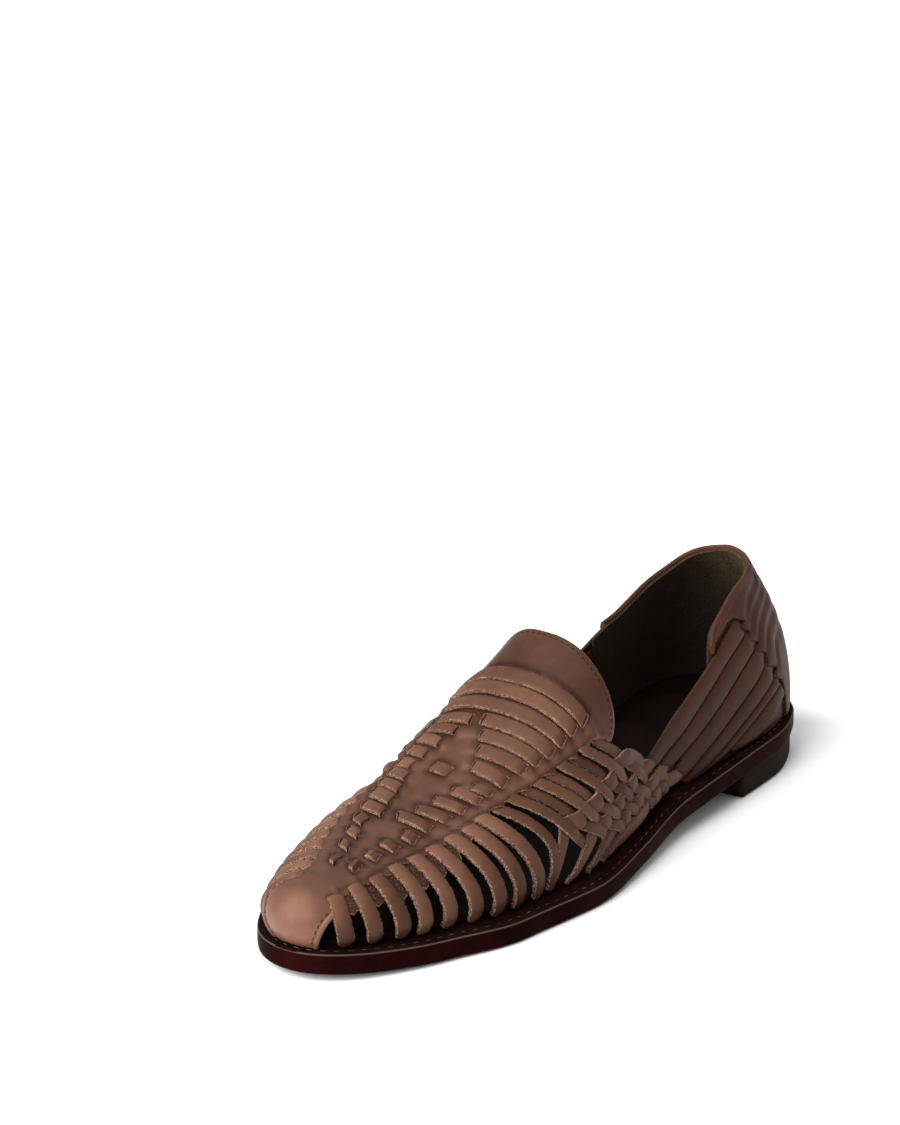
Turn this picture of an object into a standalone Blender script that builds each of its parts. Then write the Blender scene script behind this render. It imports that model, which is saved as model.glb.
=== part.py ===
"""Woven leather slip-on loafer, left shoe: sole, heel, insole and a strip-woven upper on its last.

Metres, +Z up, standing on z = 0. The toe points to -X and the outer side of the foot is -Y.
Run it with blender --background --python part.py, or from the text editor.
"""

import math
from collections import namedtuple

import bmesh
import bpy
import numpy as np
from mathutils import Vector
from mathutils.geometry import delaunay_2d_cdt

# Driving sizes of the shoe
LENGTH = 0.300
BALL_WIDTH = 0.094
INSTEP = 0.071
HEEL_HEIGHT = 0.0104
TOE_SPRING = 0.003

# Sole plates, and the gap that pieces keep between them
OUTSOLE_THICK = 0.0046
MIDSOLE_THICK = 0.0032
INSOLE_THICK = 0.0025
GAP = 0.0003
EDGE_ROUND = 0.0006
SOLE_STRIPS = 36
HEEL_BREAST = 0.080
HEEL_INSET = 0.0012

# Welt shelf outside the upper, at the heel, at the toe and beside the ball
HEEL_SHELF = 0.0045
TOE_SHELF = 0.0065
SIDE_SHELF = 0.009

# Lean and bulge of the last at its two ends
TOE_BULGE = 0.005
TOE_HEIGHT = 0.021
HEEL_LEAN = 0.014
HEEL_BULGE = 0.002
BACK_HEIGHT = 0.054

# Leather of the upper: the wall, and the steps that stand on it
WALL = 0.0016
PLUG_STEP = 0.0006
SEGMENT_STEP = 0.0008
WEAVE_STEP = 0.0010
STRAP_STEP = 0.0009
COUNTER_STEP = 0.0013
STEP_RUN = 0.0004
INSOLE_FIT = 0.0006

# Mesh spacing over the upper, outside and inside
OUTER_SPACING = 0.0105
INNER_SPACING = 0.014
EDGE_SPACING = 0.008
POINT_CLEARANCE = 0.0028
TOE_START = 0.87
TOE_FINER = 0.5
WELD = 0.00001

# The last and the sole outline, a row for each of 13 stations from the heel's back to the toe's tip.
# half and centre: the outline's half width and middle, as shares of the ball width.
# margin: share of the side shelf between outline and upper. ridge: the crest's place across, as centre.
# height: the last above its feather line, as a share of the instep. square: how boxy the section is.
# bulge: how far the wall swells past the feather line. rise and spring: shares of heel height and toe spring.
Section = namedtuple("Section", "half centre margin ridge height square bulge rise spring")
SECTIONS = (
    Section(0.000, 0.000, 0.00, 0.000, 1.000, 1.90, 0.00, 1.00, 0.00),
    Section(0.181, 0.000, 0.16, 0.000, 1.000, 1.90, 0.00, 1.00, 0.00),
    Section(0.324, -0.011, 0.38, -0.010, 1.000, 1.90, 0.00, 0.99, 0.00),
    Section(0.381, -0.035, 0.60, -0.015, 1.040, 1.95, 0.00, 0.96, 0.00),
    Section(0.383, -0.053, 0.80, -0.015, 1.120, 2.10, 0.00, 0.88, 0.00),
    Section(0.370, -0.074, 0.92, 0.000, 1.230, 2.40, 0.00, 0.66, 0.00),
    Section(0.426, -0.078, 1.00, 0.011, 1.000, 2.60, 0.00, 0.26, 0.00),
    Section(0.500, -0.043, 1.00, 0.016, 0.710, 2.60, 0.03, 0.00, 0.00),
    Section(0.500, 0.010, 1.00, 0.032, 0.455, 2.50, 0.07, 0.00, 0.00),
    Section(0.413, 0.043, 0.90, 0.040, 0.350, 2.40, 0.09, 0.00, 0.20),
    Section(0.290, 0.046, 0.72, 0.040, 0.310, 2.35, 0.13, 0.00, 0.55),
    Section(0.156, 0.049, 0.40, 0.042, 0.275, 2.30, 0.17, 0.00, 0.87),
    Section(0.000, 0.048, 0.00, 0.048, 0.000, 2.30, 0.17, 0.00, 1.00),
)
STATIONS = len(SECTIONS) - 1

# Places on the upper are a station, which may lie between two rows, and a place around the section:
# 0 on the crest, 1 at the feather line.
Place = namedtuple("Place", "station around")

# Collar edge from the back seam forward, outer side of the foot and inner side
OUTER_COLLAR = (
    Place(0.00, 0.34), Place(0.85, 0.348), Place(1.67, 0.36), Place(2.40, 0.388), Place(3.02, 0.425),
    Place(3.55, 0.497), Place(3.96, 0.568), Place(4.15, 0.64), Place(4.43, 0.71), Place(4.78, 0.775),
    Place(5.09, 0.815), Place(5.40, 0.83), Place(5.70, 0.805), Place(5.92, 0.76), Place(6.06, 0.705),
    Place(6.12, 0.63), Place(6.06, 0.535), Place(6.01, 0.40), Place(5.98, 0.24), Place(5.97, 0.08),
)
INNER_COLLAR = (
    Place(0.00, 0.34), Place(1.26, 0.380), Place(1.92, 0.430), Place(2.48, 0.485), Place(2.95, 0.542),
    Place(3.30, 0.588), Place(3.61, 0.630), Place(4.01, 0.662), Place(4.43, 0.71), Place(4.78, 0.775),
    Place(5.09, 0.815), Place(5.40, 0.83), Place(5.70, 0.805), Place(5.92, 0.76), Place(6.06, 0.705),
    Place(6.12, 0.63), Place(6.06, 0.535), Place(6.01, 0.40), Place(5.98, 0.24), Place(5.97, 0.08),
)

# Side strips, from the toe back. top: station of the strip's front corner under the plug's zigzag edge.
# outer and inner: that corner's place around, on the two sides. front and back: stations of the strip's
# two corners at the feather line, for the strips that reach it without weaving.
Strip = namedtuple("Strip", "top outer inner front back")
STRIPS = (
    Strip(10.79, 0.40, 0.12, 10.80, 10.46),
    Strip(10.28, 0.36, 0.14, 10.20, 9.97),
    Strip(9.82, 0.35, 0.20, 9.71, 9.49),
    Strip(9.41, 0.31, 0.27, 9.37, 9.11),
    Strip(9.05, 0.315, 0.315, 8.99, 8.73),
    Strip(8.74, 0.31, 0.34, 8.63, 8.42),
    Strip(8.46, 0.31, 0.36, 8.32, 8.11),
    Strip(8.22, 0.32, 0.37, 8.02, 7.80),
    Strip(8.02, 0.32, 0.38, 7.70, 7.50),
)
# Strips that go through the weave: their front corners under the plug
WOVEN = (
    Place(7.80, 0.35), Place(7.63, 0.38), Place(7.46, 0.40), Place(7.32, 0.43), Place(7.16, 0.443),
    Place(7.01, 0.46), Place(6.85, 0.48), Place(6.71, 0.50), Place(6.52, 0.525),
)
# The four runs that weave through them: the line above each run, and the last one's lower line.
# back: how many stations a strip lies behind its top where it meets that line.
RunEdge = namedtuple("RunEdge", "back around")
RUN_EDGES = (
    RunEdge(0.32, 0.690),
    RunEdge(0.56, 0.812),
    RunEdge(0.83, 0.897),
    RunEdge(1.10, 0.950),
    RunEdge(1.34, 0.982),
)
# How many runs cross each woven strip, from the front one back
RUNS_CROSSED = (0, 1, 2, 3, 3, 4, 4, 4, 4)
# Share of a crossing's cell that the strip or run on top covers, along itself and across
PATCH_LONG = 0.93
PATCH_WIDE = 0.76

# Six straps from the weave to the counter: a row for the upper edge of each, and the last strap's lower edge
StrapEdge = namedtuple("StrapEdge", "front front_around middle middle_around back back_around")
STRAP_EDGES = (
    StrapEdge(5.62, 0.862, 4.55, 0.752, 3.41, 0.560),
    StrapEdge(5.40, 0.908, 4.30, 0.778, 3.16, 0.607),
    StrapEdge(5.08, 0.942, 4.10, 0.825, 3.04, 0.670),
    StrapEdge(4.85, 0.962, 3.85, 0.872, 2.89, 0.735),
    StrapEdge(4.62, 0.975, 3.60, 0.908, 2.69, 0.805),
    StrapEdge(4.02, 0.975, 3.25, 0.915, 2.50, 0.845),
    StrapEdge(3.40, 0.975, 2.90, 0.940, 2.36, 0.880),
)
STRAP_GROOVE = 0.0011

# Counter's front edge, a zigzag: a slit's two ends for each strap, from the collar down
Slit = namedtuple("Slit", "front front_around back back_around")
SLITS = (
    Slit(3.42, 0.540, 3.20, 0.572),
    Slit(3.31, 0.587, 3.08, 0.615),
    Slit(3.20, 0.640, 2.94, 0.668),
    Slit(3.06, 0.692, 2.80, 0.718),
    Slit(2.90, 0.758, 2.60, 0.785),
    Slit(2.74, 0.810, 2.46, 0.842),
)

# Short pieces of strip that show on the plug between two slits: front end, back end and their places around
# the section, negative on the outer side. step: stations from its front edge to its back edge.
Segment = namedtuple("Segment", "front front_around back back_around step")
OUTER_SEGMENTS = (
    Segment(9.86, -0.150, 9.94, -0.240, 0.27),
    Segment(9.40, -0.125, 9.44, -0.225, 0.20),
    Segment(9.04, -0.110, 9.10, -0.230, 0.18),
    Segment(8.74, -0.145, 8.79, -0.245, 0.17),
    Segment(8.47, -0.040, 8.52, -0.225, 0.15),
    Segment(8.22, -0.065, 8.27, -0.240, 0.13),
    Segment(8.01, -0.090, 8.04, -0.255, 0.12),
    Segment(7.80, -0.120, 7.84, -0.280, 0.11),
    Segment(7.65, -0.190, 7.68, -0.300, 0.09),
    Segment(7.47, -0.110, 7.53, -0.315, 0.11),
    Segment(7.30, -0.075, 7.36, -0.345, 0.11),
    Segment(7.13, -0.050, 7.21, -0.375, 0.11),
    Segment(6.97, -0.010, 7.05, -0.395, 0.11),
)
INNER_SEGMENTS = (
    Segment(9.92, 0.010, 9.98, -0.040, 0.30),
    Segment(9.36, 0.100, 9.48, 0.010, 0.22),
    Segment(8.97, 0.165, 9.08, 0.045, 0.20),
    Segment(8.65, 0.215, 8.77, 0.100, 0.18),
    Segment(8.39, 0.245, 8.52, 0.065, 0.15),
    Segment(8.15, 0.275, 8.27, 0.085, 0.17),
    Segment(7.93, 0.300, 8.04, 0.105, 0.13),
    Segment(7.75, 0.320, 7.85, 0.135, 0.11),
    Segment(7.60, 0.320, 7.68, 0.165, 0.09),
    Segment(7.43, 0.325, 7.53, 0.130, 0.09),
    Segment(7.28, 0.320, 7.38, 0.095, 0.09),
    Segment(7.15, 0.290, 7.21, 0.055, 0.08),
)
CROWN_SEGMENT = Segment(7.60, 0.030, 7.64, -0.040, 0.13)
# The three long strips across the tongue's root
TONGUE_STRIPS = (
    Segment(6.40, 0.500, 6.46, -0.455, 0.125),
    Segment(6.56, 0.480, 6.62, -0.435, 0.125),
    Segment(6.72, 0.455, 6.78, -0.415, 0.125),
)

# Gaps that go right through the wall. They start under the plug's edge and stop above the feather line.
GAP_START = 0.075
GAP_LOW = 0.955
GAP_NARROW = 0.035
TOE_HOLE = (
    Place(10.76, 0.62), Place(10.97, 0.70), Place(11.13, 0.80), Place(11.26, 0.94),
    Place(10.86, 0.94), Place(10.80, 0.78),
)

# Colour as red, green and blue in linear light, and roughness, for each material
Finish = namedtuple("Finish", "name red green blue rough")
SOLE_LEATHER = Finish("Edge-dyed sole leather", 0.030, 0.009, 0.008, 0.45)
HEEL_LEATHER = Finish("Stacked heel leather", 0.030, 0.018, 0.013, 0.55)
WELT_LEATHER = Finish("Dark midsole leather", 0.022, 0.012, 0.009, 0.60)
SOCK_LEATHER = Finish("Insole sock", 0.012, 0.007, 0.005, 0.75)
UPPER_LEATHER = Finish("Brown upper leather", 0.150, 0.070, 0.045, 0.50)


def smooth(column, a):
    """The column of SECTIONS at a, from 0 at the heel to 1 at the toe, without overshoot between rows."""
    values = np.array([getattr(row, column) for row in SECTIONS])
    steps = np.diff(values)
    slopes = np.empty(len(values))
    slopes[0], slopes[-1] = steps[0], steps[-1]
    for i in range(1, len(steps)):
        before, after = steps[i - 1], steps[i]
        slopes[i] = 2 * before * after / (before + after) if before * after > 0 else 0
    place = min(max(a, 0), 1) * len(steps)
    i = min(int(place), len(steps) - 1)
    t = place - i
    from_row = (2 * t**3 - 3 * t**2 + 1) * values[i] + (t**3 - 2 * t**2 + t) * slopes[i]
    return from_row + (3 * t**2 - 2 * t**3) * values[i + 1] + (t**3 - t**2) * slopes[i + 1]


def along(a):
    """Share of the length covered at a, so that stations crowd together at both ends."""
    return (1 - math.cos(math.pi * a)) / 2


def ground_line(a):
    """Height of the sole's underside: heel lift, flat tread and toe spring."""
    return smooth("rise", a) * HEEL_HEIGHT + smooth("spring", a) * TOE_SPRING


def feather_height(a):
    return ground_line(a) + OUTSOLE_THICK + GAP + MIDSOLE_THICK + GAP


def outline_middle():
    """Middle of the sole's box across, which becomes y = 0."""
    rows = [i / 240 for i in range(241)]
    middles = [BALL_WIDTH * smooth("centre", a) for a in rows]
    halves = [BALL_WIDTH * smooth("half", a) for a in rows]
    low = min(m - h for m, h in zip(middles, halves))
    high = max(m + h for m, h in zip(middles, halves))
    return (low + high) / 2


MIDDLE = outline_middle()


def last_point(a, k):
    """A point of the last: k is 0 on the crest, -1 at the outer feather line and 1 at the inner one."""
    half = BALL_WIDTH * smooth("half", a) - SIDE_SHELF * smooth("margin", a)
    centre = BALL_WIDTH * smooth("centre", a) - MIDDLE
    crest = BALL_WIDTH * smooth("ridge", a) - MIDDLE
    height = INSTEP * smooth("height", a)
    power = 2 / smooth("square", a)
    turn = abs(k) * math.pi / 2
    out = math.sin(turn) ** power
    up = max(math.cos(turn), 0) ** power
    side = centre - half if k < 0 else centre + half
    y = crest + (side - crest) * out * (1 + smooth("bulge", a) * math.sin(math.pi * up))
    toe = max(-math.cos(math.pi * a), 0) ** 6
    heel = max(math.cos(math.pi * a), 0) ** 3
    climb = height * up / BACK_HEIGHT
    x = LENGTH / 2 - HEEL_SHELF - along(a) * (LENGTH - HEEL_SHELF - TOE_SHELF)
    x -= toe * TOE_BULGE * math.sin(math.pi * min(height * up / TOE_HEIGHT, 1))
    x -= heel * (HEEL_LEAN * min(climb, 1.3) ** 2 - HEEL_BULGE * math.sin(math.pi * min(climb, 1)))
    return np.array((x, y, feather_height(a) + height * up))


def last_normal(a, k):
    """Unit normal of the last, pointing out."""
    if a > 0.9995:
        return np.array((-1.0, 0.0, 0.0))
    step = 0.001
    ahead = last_point(min(a + step, 1), k) - last_point(max(a - step, 0), k)
    around = last_point(a, min(k + step, 1)) - last_point(a, max(k - step, -1))
    normal = np.cross(around, ahead)
    if a == 0:
        normal[1] = 0
    return normal / np.linalg.norm(normal)


def girth(a):
    """Length from crest to feather line, for the flat pattern."""
    half = BALL_WIDTH * smooth("half", a) - SIDE_SHELF * smooth("margin", a)
    return 1.1 * math.hypot(half, INSTEP * smooth("height", a))


def flat(station, around):
    """The flat pattern's point for a place on the upper."""
    a = station / STATIONS
    return np.array((a * LENGTH, around * girth(a)))


def on_last(point, lift):
    """The flat pattern's point laid on the last, lifted off it, and trimmed level where it meets the sole."""
    a = min(max(point[0] / LENGTH, 0), 1)
    a = 0 if a < 1e-7 else a
    k = point[1] / girth(a) if a < 0.9995 else 0
    k = min(max(k, -1), 1)
    placed = last_point(a, k) + last_normal(a, k) * lift
    placed[2] = max(placed[2], feather_height(a))
    return placed


def divided(points, spacing, closed=True):
    """The line with points added so that none of its pieces is longer than spacing."""
    result = []
    ends = points[1:] + points[:1] if closed else points[1:]
    for start, end in zip(points, ends):
        pieces = max(1, math.ceil(np.linalg.norm(end - start) / spacing))
        result += [start + (end - start) * i / pieces for i in range(pieces)]
    if not closed:
        result.append(points[-1])
    return result


def inside(point, polygon):
    """Whether the polygon holds the point."""
    x, y = point
    found = False
    for (x0, y0), (x1, y1) in zip(polygon, polygon[1:] + polygon[:1]):
        if (y0 > y) != (y1 > y) and x < x0 + (y - y0) * (x1 - x0) / (y1 - y0):
            found = not found
    return found


def turned(direction):
    return np.array((direction[1], -direction[0]))


def area(polygon):
    pairs = zip(polygon, polygon[1:] + polygon[:1])
    return sum(p[0] * q[1] - q[0] * p[1] for p, q in pairs) / 2


def grown(polygon, distance):
    """The polygon with each side moved out by distance, corners mitred."""
    polygon = polygon if area(polygon) > 0 else polygon[::-1]
    result = []
    for before, point, after in zip(polygon[-1:] + polygon[:-1], polygon, polygon[1:] + polygon[:1]):
        first = turned(point - before) / np.linalg.norm(point - before)
        second = turned(after - point) / np.linalg.norm(after - point)
        bisector = first + second
        bisector /= max(bisector @ bisector / 2, 0.7)
        result.append(point + bisector * distance)
    return result


def domain_outline():
    """Edge of the whole upper in the flat pattern: feather line, back seam, collar and tongue."""
    seam = np.linspace(OUTER_COLLAR[0].around, 1, 9)
    feather = [i * 0.25 for i in range(1, 4 * STATIONS - 3)] + [11.40, 11.55, 11.70, 11.85]
    outline = [flat(0, -k) for k in seam]
    outline += [flat(station, -1) for station in feather]
    outline += [flat(STATIONS, 0)]
    outline += [flat(station, 1) for station in reversed(feather)]
    outline += [flat(0, k) for k in reversed(seam)]
    collar = [flat(place.station, place.around) for place in INNER_COLLAR]
    collar += [flat(place.station, -place.around) for place in reversed(OUTER_COLLAR)]
    return outline + curved(collar)[1:-1]


def gap_outline(side, top, low):
    """A gap that widens from its top to its low end. Each is a station in front, one behind and a place around."""
    corners = [Place(top[0], top[2]), Place(low[0], low[2]), Place(low[1], low[2]), Place(top[1], top[2])]
    return [flat(place.station, side * place.around) for place in corners]


def between(start, end, share):
    return start + (end - start) * share


def through_gaps():
    """Polygons of the gaps between strips, on both sides of the shoe."""
    gaps = []
    for side in (-1, 1):
        gaps.append([flat(place.station, side * place.around) for place in TOE_HOLE])
        for ahead, behind in zip(STRIPS, STRIPS[1:]):
            start = max(behind.outer, behind.inner if side > 0 else 0) + GAP_START
            share = (start - behind.outer) / (1 - behind.outer)
            top = between(behind.top, behind.front, share)
            low = max(ahead.back, behind.front + GAP_NARROW)
            gaps.append(gap_outline(side, (top + GAP_NARROW, top, start), (low, behind.front, GAP_LOW)))
        for place in WOVEN:
            start = place.around + GAP_START
            share = GAP_START / (RUN_EDGES[0].around - place.around)
            top = place.station - RUN_EDGES[0].back * share
            low = place.station - RUN_EDGES[0].back
            gaps.append(gap_outline(side, (top + 0.025, top, start), (low + 0.05, low, RUN_EDGES[0].around - 0.01)))
    return gaps


def plug_outline():
    """Zigzag edge of the plug on both sides, closed round the toe and past the tongue's end."""
    tops = [Place(strip.top, strip.outer) for strip in STRIPS] + list(WOVEN)
    inner_tops = [Place(strip.top, strip.inner) for strip in STRIPS] + list(WOVEN)
    outline = []
    for side, places in ((-1, tops), (1, inner_tops)):
        beyond = side * BALL_WIDTH / 2
        edge = [flat(12.3, 0), np.array((1.03 * LENGTH, beyond)), np.array((0.93 * LENGTH, beyond))]
        edge += [flat(11.08, side * 0.86), flat(10.96, side * 0.76)]
        for place, following in zip(places, places[1:]):
            edge.append(flat(place.station, side * place.around))
            edge.append(flat(following.station + 0.03, side * (place.around + 0.05)))
        edge += [flat(places[-1].station, side * places[-1].around), flat(6.30, side * 0.60)]
        edge += [flat(6.20, side * 0.66), flat(5.80, side * 0.66)]
        outline += edge[1:] if side < 0 else edge[::-1]
    return outline


def segment_outline(segment):
    """Four corners of a short piece of strip on the plug."""
    return [
        flat(segment.front, segment.front_around),
        flat(segment.back, segment.back_around),
        flat(segment.back - segment.step, segment.back_around),
        flat(segment.front - segment.step, segment.front_around),
    ]


def weave_point(side, strip, run):
    """Flat pattern's point at a strip and a run, counted from the front and from above, which may be in between."""
    top = np.interp(strip, range(len(WOVEN)), [place.station for place in WOVEN])
    back = np.interp(run, range(len(RUN_EDGES)), [edge.back for edge in RUN_EDGES])
    around = np.interp(run, range(len(RUN_EDGES)), [edge.around for edge in RUN_EDGES])
    return flat(top - back, side * around)


def weave_outlines():
    """Raised patches of the weave: at each crossing, the strip or the run that lies on top."""
    patches = []
    for side in (-1, 1):
        for strip, runs in enumerate(RUNS_CROSSED):
            for run in range(runs):
                run_on_top = (strip + run) % 2 == 0
                wide = (PATCH_LONG if run_on_top else PATCH_WIDE) / 2
                high = (PATCH_WIDE if run_on_top else PATCH_LONG) / 2
                middle = run + 0.5
                patches.append([
                    weave_point(side, strip - wide, middle - high),
                    weave_point(side, strip + wide, middle - high),
                    weave_point(side, strip + wide, middle + high),
                    weave_point(side, strip - wide, middle + high),
                ])
    return patches


def curved(points):
    """A smooth line through the points, with two more between each two of them."""
    result = [points[0]]
    ends = [2 * points[0] - points[1]] + points + [2 * points[-1] - points[-2]]
    for before, start, end, after in zip(ends, ends[1:], ends[2:], ends[3:]):
        for t in (1 / 3, 2 / 3, 1):
            bend = (2 * before - 5 * start + 4 * end - after) * t**2
            twist = (3 * start - before - 3 * end + after) * t**3
            result.append((2 * start + (end - before) * t + bend + twist) / 2)
    return result


def strap_line(edge, side):
    return curved([
        flat(edge.front, side * edge.front_around),
        flat(edge.middle, side * edge.middle_around),
        flat(edge.back, side * edge.back_around),
    ])


def strap_outlines():
    """The six straps on both sides, with a groove between neighbours."""
    straps = []
    for side in (-1, 1):
        for high, low in zip(STRAP_EDGES, STRAP_EDGES[1:]):
            outline = strap_line(high, side) + strap_line(low, side)[::-1]
            straps.append(grown(outline, -STRAP_GROOVE / 2))
    return straps


def counter_outline():
    """The counter with its stepped front edge, run past the collar, the back seam and the feather line."""
    outline = []
    for side in (-1, 1):
        edge = [flat(-0.5, side * 0.20), flat(2.6, side * 0.20), flat(3.55, side * 0.44)]
        for slit in SLITS:
            edge.append(flat(slit.front - 0.06, side * slit.front_around))
            edge.append(flat(slit.back - 0.06, side * slit.back_around))
        edge += [flat(2.30, side * 0.90), flat(2.10, side * 1.10), flat(-0.5, side * 1.10)]
        outline.append(edge)
    return outline


def steps():
    """Regions that stand above the wall, with their heights."""
    found = [(plug_outline(), PLUG_STEP)]
    segments = OUTER_SEGMENTS + INNER_SEGMENTS + (CROWN_SEGMENT,) + TONGUE_STRIPS
    found += [(segment_outline(segment), SEGMENT_STEP) for segment in segments]
    found += [(outline, WEAVE_STEP) for outline in weave_outlines()]
    found += [(outline, STRAP_STEP) for outline in strap_outlines()]
    found += [(outline, COUNTER_STEP) for outline in counter_outline()]
    return found


def triangulated(loops, spacing, keep):
    """Triangles between the closed lines and a regular field of points, where keep says so."""
    points = []
    edges = []
    for loop in loops:
        first = len(points)
        points += loop
        edges += [(first + i, first + (i + 1) % len(loop)) for i in range(len(loop))]
    fixed = np.array(points)
    reach = girth(0.4)
    x = spacing / 2
    row = 0
    while x < LENGTH:
        near_toe = x > TOE_START * LENGTH
        pitch = spacing * (TOE_FINER if near_toe else 1)
        clear = POINT_CLEARANCE * (TOE_FINER if near_toe else 1)
        for y in np.arange(-reach + pitch / 2 * (row % 2), reach, pitch):
            point = np.array((x, y))
            if np.linalg.norm(fixed - point, axis=1).min() > clear and keep(point):
                points.append(point)
        x += pitch * 0.87
        row += 1
    result = delaunay_2d_cdt([Vector(point) for point in points], edges, [], 0, WELD, True)
    places = [np.array(vertex) for vertex in result[0]]
    sources = result[3]
    faces = [face for face in result[2] if keep(sum(places[i] for i in face) / 3)]
    return places, faces, sources


def rim_edges(faces):
    """Edges with a face on one side only, in the order of that face."""
    directed = {(face[i], face[(i + 1) % 3]) for face in faces for i in range(3)}
    return [(i, j) for i, j in directed if (j, i) not in directed]


def loops_of(edges):
    """Closed loops made of the directed edges."""
    after = dict(edges)
    loops = []
    while after:
        start = next(iter(after))
        loop = [start]
        step = after.pop(start)
        while step != start:
            loop.append(step)
            step = after.pop(step)
        loops.append(loop)
    return loops


def new_material(finish):
    """A Principled material in the finish's colour."""
    material = bpy.data.materials.new(finish.name)
    material.use_nodes = True
    shader = material.node_tree.nodes["Principled BSDF"]
    shader.inputs["Base Color"].default_value = (finish.red, finish.green, finish.blue, 1)
    shader.inputs["Roughness"].default_value = finish.rough
    shader.inputs["Metallic"].default_value = 0
    return material


def new_object(name, mesh_source, finish):
    """An object in the shoe's collection from a bmesh, which is freed."""
    bmesh.ops.recalc_face_normals(mesh_source, faces=mesh_source.faces)
    mesh = bpy.data.meshes.new(name)
    mesh_source.to_mesh(mesh)
    mesh_source.free()
    mesh.materials.append(new_material(finish))
    for polygon in mesh.polygons:
        polygon.use_smooth = True
    made = bpy.data.objects.new(name, mesh)
    shoe.objects.link(made)
    return made


def plate_surface(point, rows):
    """An open surface across the shoe from one end of it, a strip between each two rows."""
    surface = bmesh.new()
    left = [surface.verts.new(point(a, -1)) for a in rows]
    right = [surface.verts.new(point(a, 1)) if point(a, 1) != point(a, -1) else None for a in rows]
    for i in range(len(rows) - 1):
        corners = (left[i], left[i + 1], right[i + 1], right[i])
        surface.faces.new([corner for corner in corners if corner])
    return surface


def add_plate(name, point, thickness, finish):
    """A sole plate: the surface of its underside, thickened upward, its edges rounded."""
    rows = [i / SOLE_STRIPS for i in range(SOLE_STRIPS + 1)]
    surface = plate_surface(point, rows)
    plate = new_object(name, surface, finish)
    facing_up = sum(polygon.normal.z for polygon in plate.data.polygons) > 0
    solidify = plate.modifiers.new("Thickness", "SOLIDIFY")
    solidify.thickness = thickness
    solidify.offset = 1 if facing_up else -1
    bevel = plate.modifiers.new("Edge", "BEVEL")
    bevel.width = EDGE_ROUND
    bevel.segments = 1
    bevel.limit_method = "ANGLE"
    bevel.angle_limit = math.radians(50)
    return plate


def outline_point(a, side, lift, inset=0):
    """A point of the sole outline at one side, lifted above the underside and drawn in from the edge."""
    half = max(BALL_WIDTH * smooth("half", a) - inset * min(1, 6 * min(a, 1 - a)), 0)
    y = BALL_WIDTH * smooth("centre", a) - MIDDLE + side * half
    x = (LENGTH / 2 - inset) - along(a) * (LENGTH - 2 * inset)
    return (x, y, ground_line(a) + lift)


def add_outsole():
    add_plate("outsole", lambda a, side: outline_point(a, side, 0), OUTSOLE_THICK, SOLE_LEATHER)


def add_midsole():
    lift = OUTSOLE_THICK + GAP
    add_plate("midsole", lambda a, side: outline_point(a, side, lift), MIDSOLE_THICK, WELT_LEATHER)


def add_insole():
    """Sock that fills the last's feather line, clear of the upper's wall."""

    def point(a, side):
        half = BALL_WIDTH * smooth("half", a) - SIDE_SHELF * smooth("margin", a) - INSOLE_FIT
        front = TOE_SHELF + INSOLE_FIT
        back = HEEL_SHELF + INSOLE_FIT
        x = LENGTH / 2 - back - along(a) * (LENGTH - back - front)
        y = BALL_WIDTH * smooth("centre", a) - MIDDLE + side * max(half, 0)
        return (x, y, feather_height(a))

    add_plate("insole", point, INSOLE_THICK, SOCK_LEATHER)


def add_heel():
    """Heel block from the floor to the outsole, cut off upright at its breast."""
    breast = math.acos(1 - 2 * HEEL_BREAST / LENGTH) / math.pi
    rows = [breast * i / 12 for i in range(13)]
    block = plate_surface(lambda a, side: outline_point(a, side, -GAP, HEEL_INSET), rows)
    lowered = bmesh.ops.extrude_face_region(block, geom=block.faces[:])
    for item in lowered["geom"]:
        if isinstance(item, bmesh.types.BMVert):
            item.co.z = 0
    heel = new_object("heel", block, HEEL_LEATHER)
    bevel = heel.modifiers.new("Edge", "BEVEL")
    bevel.width = EDGE_ROUND
    bevel.segments = 1
    bevel.limit_method = "ANGLE"
    bevel.angle_limit = math.radians(50)


def add_upper():
    """The hollow upper: an outer skin with its steps, the last inside it, and rims round every opening."""
    outline = divided(domain_outline(), EDGE_SPACING)
    gaps = [divided(gap, EDGE_SPACING) for gap in through_gaps()]
    regions = steps()
    loops = [outline] + gaps
    for region, height in regions:
        loops.append(divided(grown(region, STEP_RUN / 2), EDGE_SPACING))
        loops.append(divided(grown(region, -STEP_RUN / 2), EDGE_SPACING))

    def in_upper(point):
        return inside(point, outline) and not any(inside(point, gap) for gap in gaps)

    places, faces, _ = triangulated(loops, OUTER_SPACING, in_upper)
    used = {i for face in faces for i in face}
    body = bmesh.new()
    outer = {}
    for i in used:
        raised = sum(height for region, height in regions if inside(places[i], region))
        outer[i] = body.verts.new(on_last(places[i], WALL + raised))
    for face in faces:
        body.faces.new([outer[i] for i in face])

    rims = rim_edges(faces)
    rim_loops = loops_of(rims)
    inner_loops = [[places[i] for i in loop] for loop in rim_loops]
    order = [i for loop in rim_loops for i in loop]
    inner_places, inner_faces, sources = triangulated(inner_loops, INNER_SPACING, in_upper)
    inner = {}
    for face in inner_faces:
        for i in face:
            if i not in inner:
                inner[i] = body.verts.new(on_last(inner_places[i], 0))
    for face in inner_faces:
        body.faces.new([inner[i] for i in reversed(face)])
    twin = {order[source]: inner[i] for i in inner for source in sources[i] if source < len(order)}
    for i, j in rims:
        if max(places[i][0], places[j][0]) > WELD:
            body.faces.new((outer[j], outer[i], twin[i], twin[j]))
    bmesh.ops.remove_doubles(body, verts=body.verts, dist=WELD)
    upper = new_object("upper", body, UPPER_LEATHER)
    for polygon in upper.data.polygons:
        polygon.use_smooth = False


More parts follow.
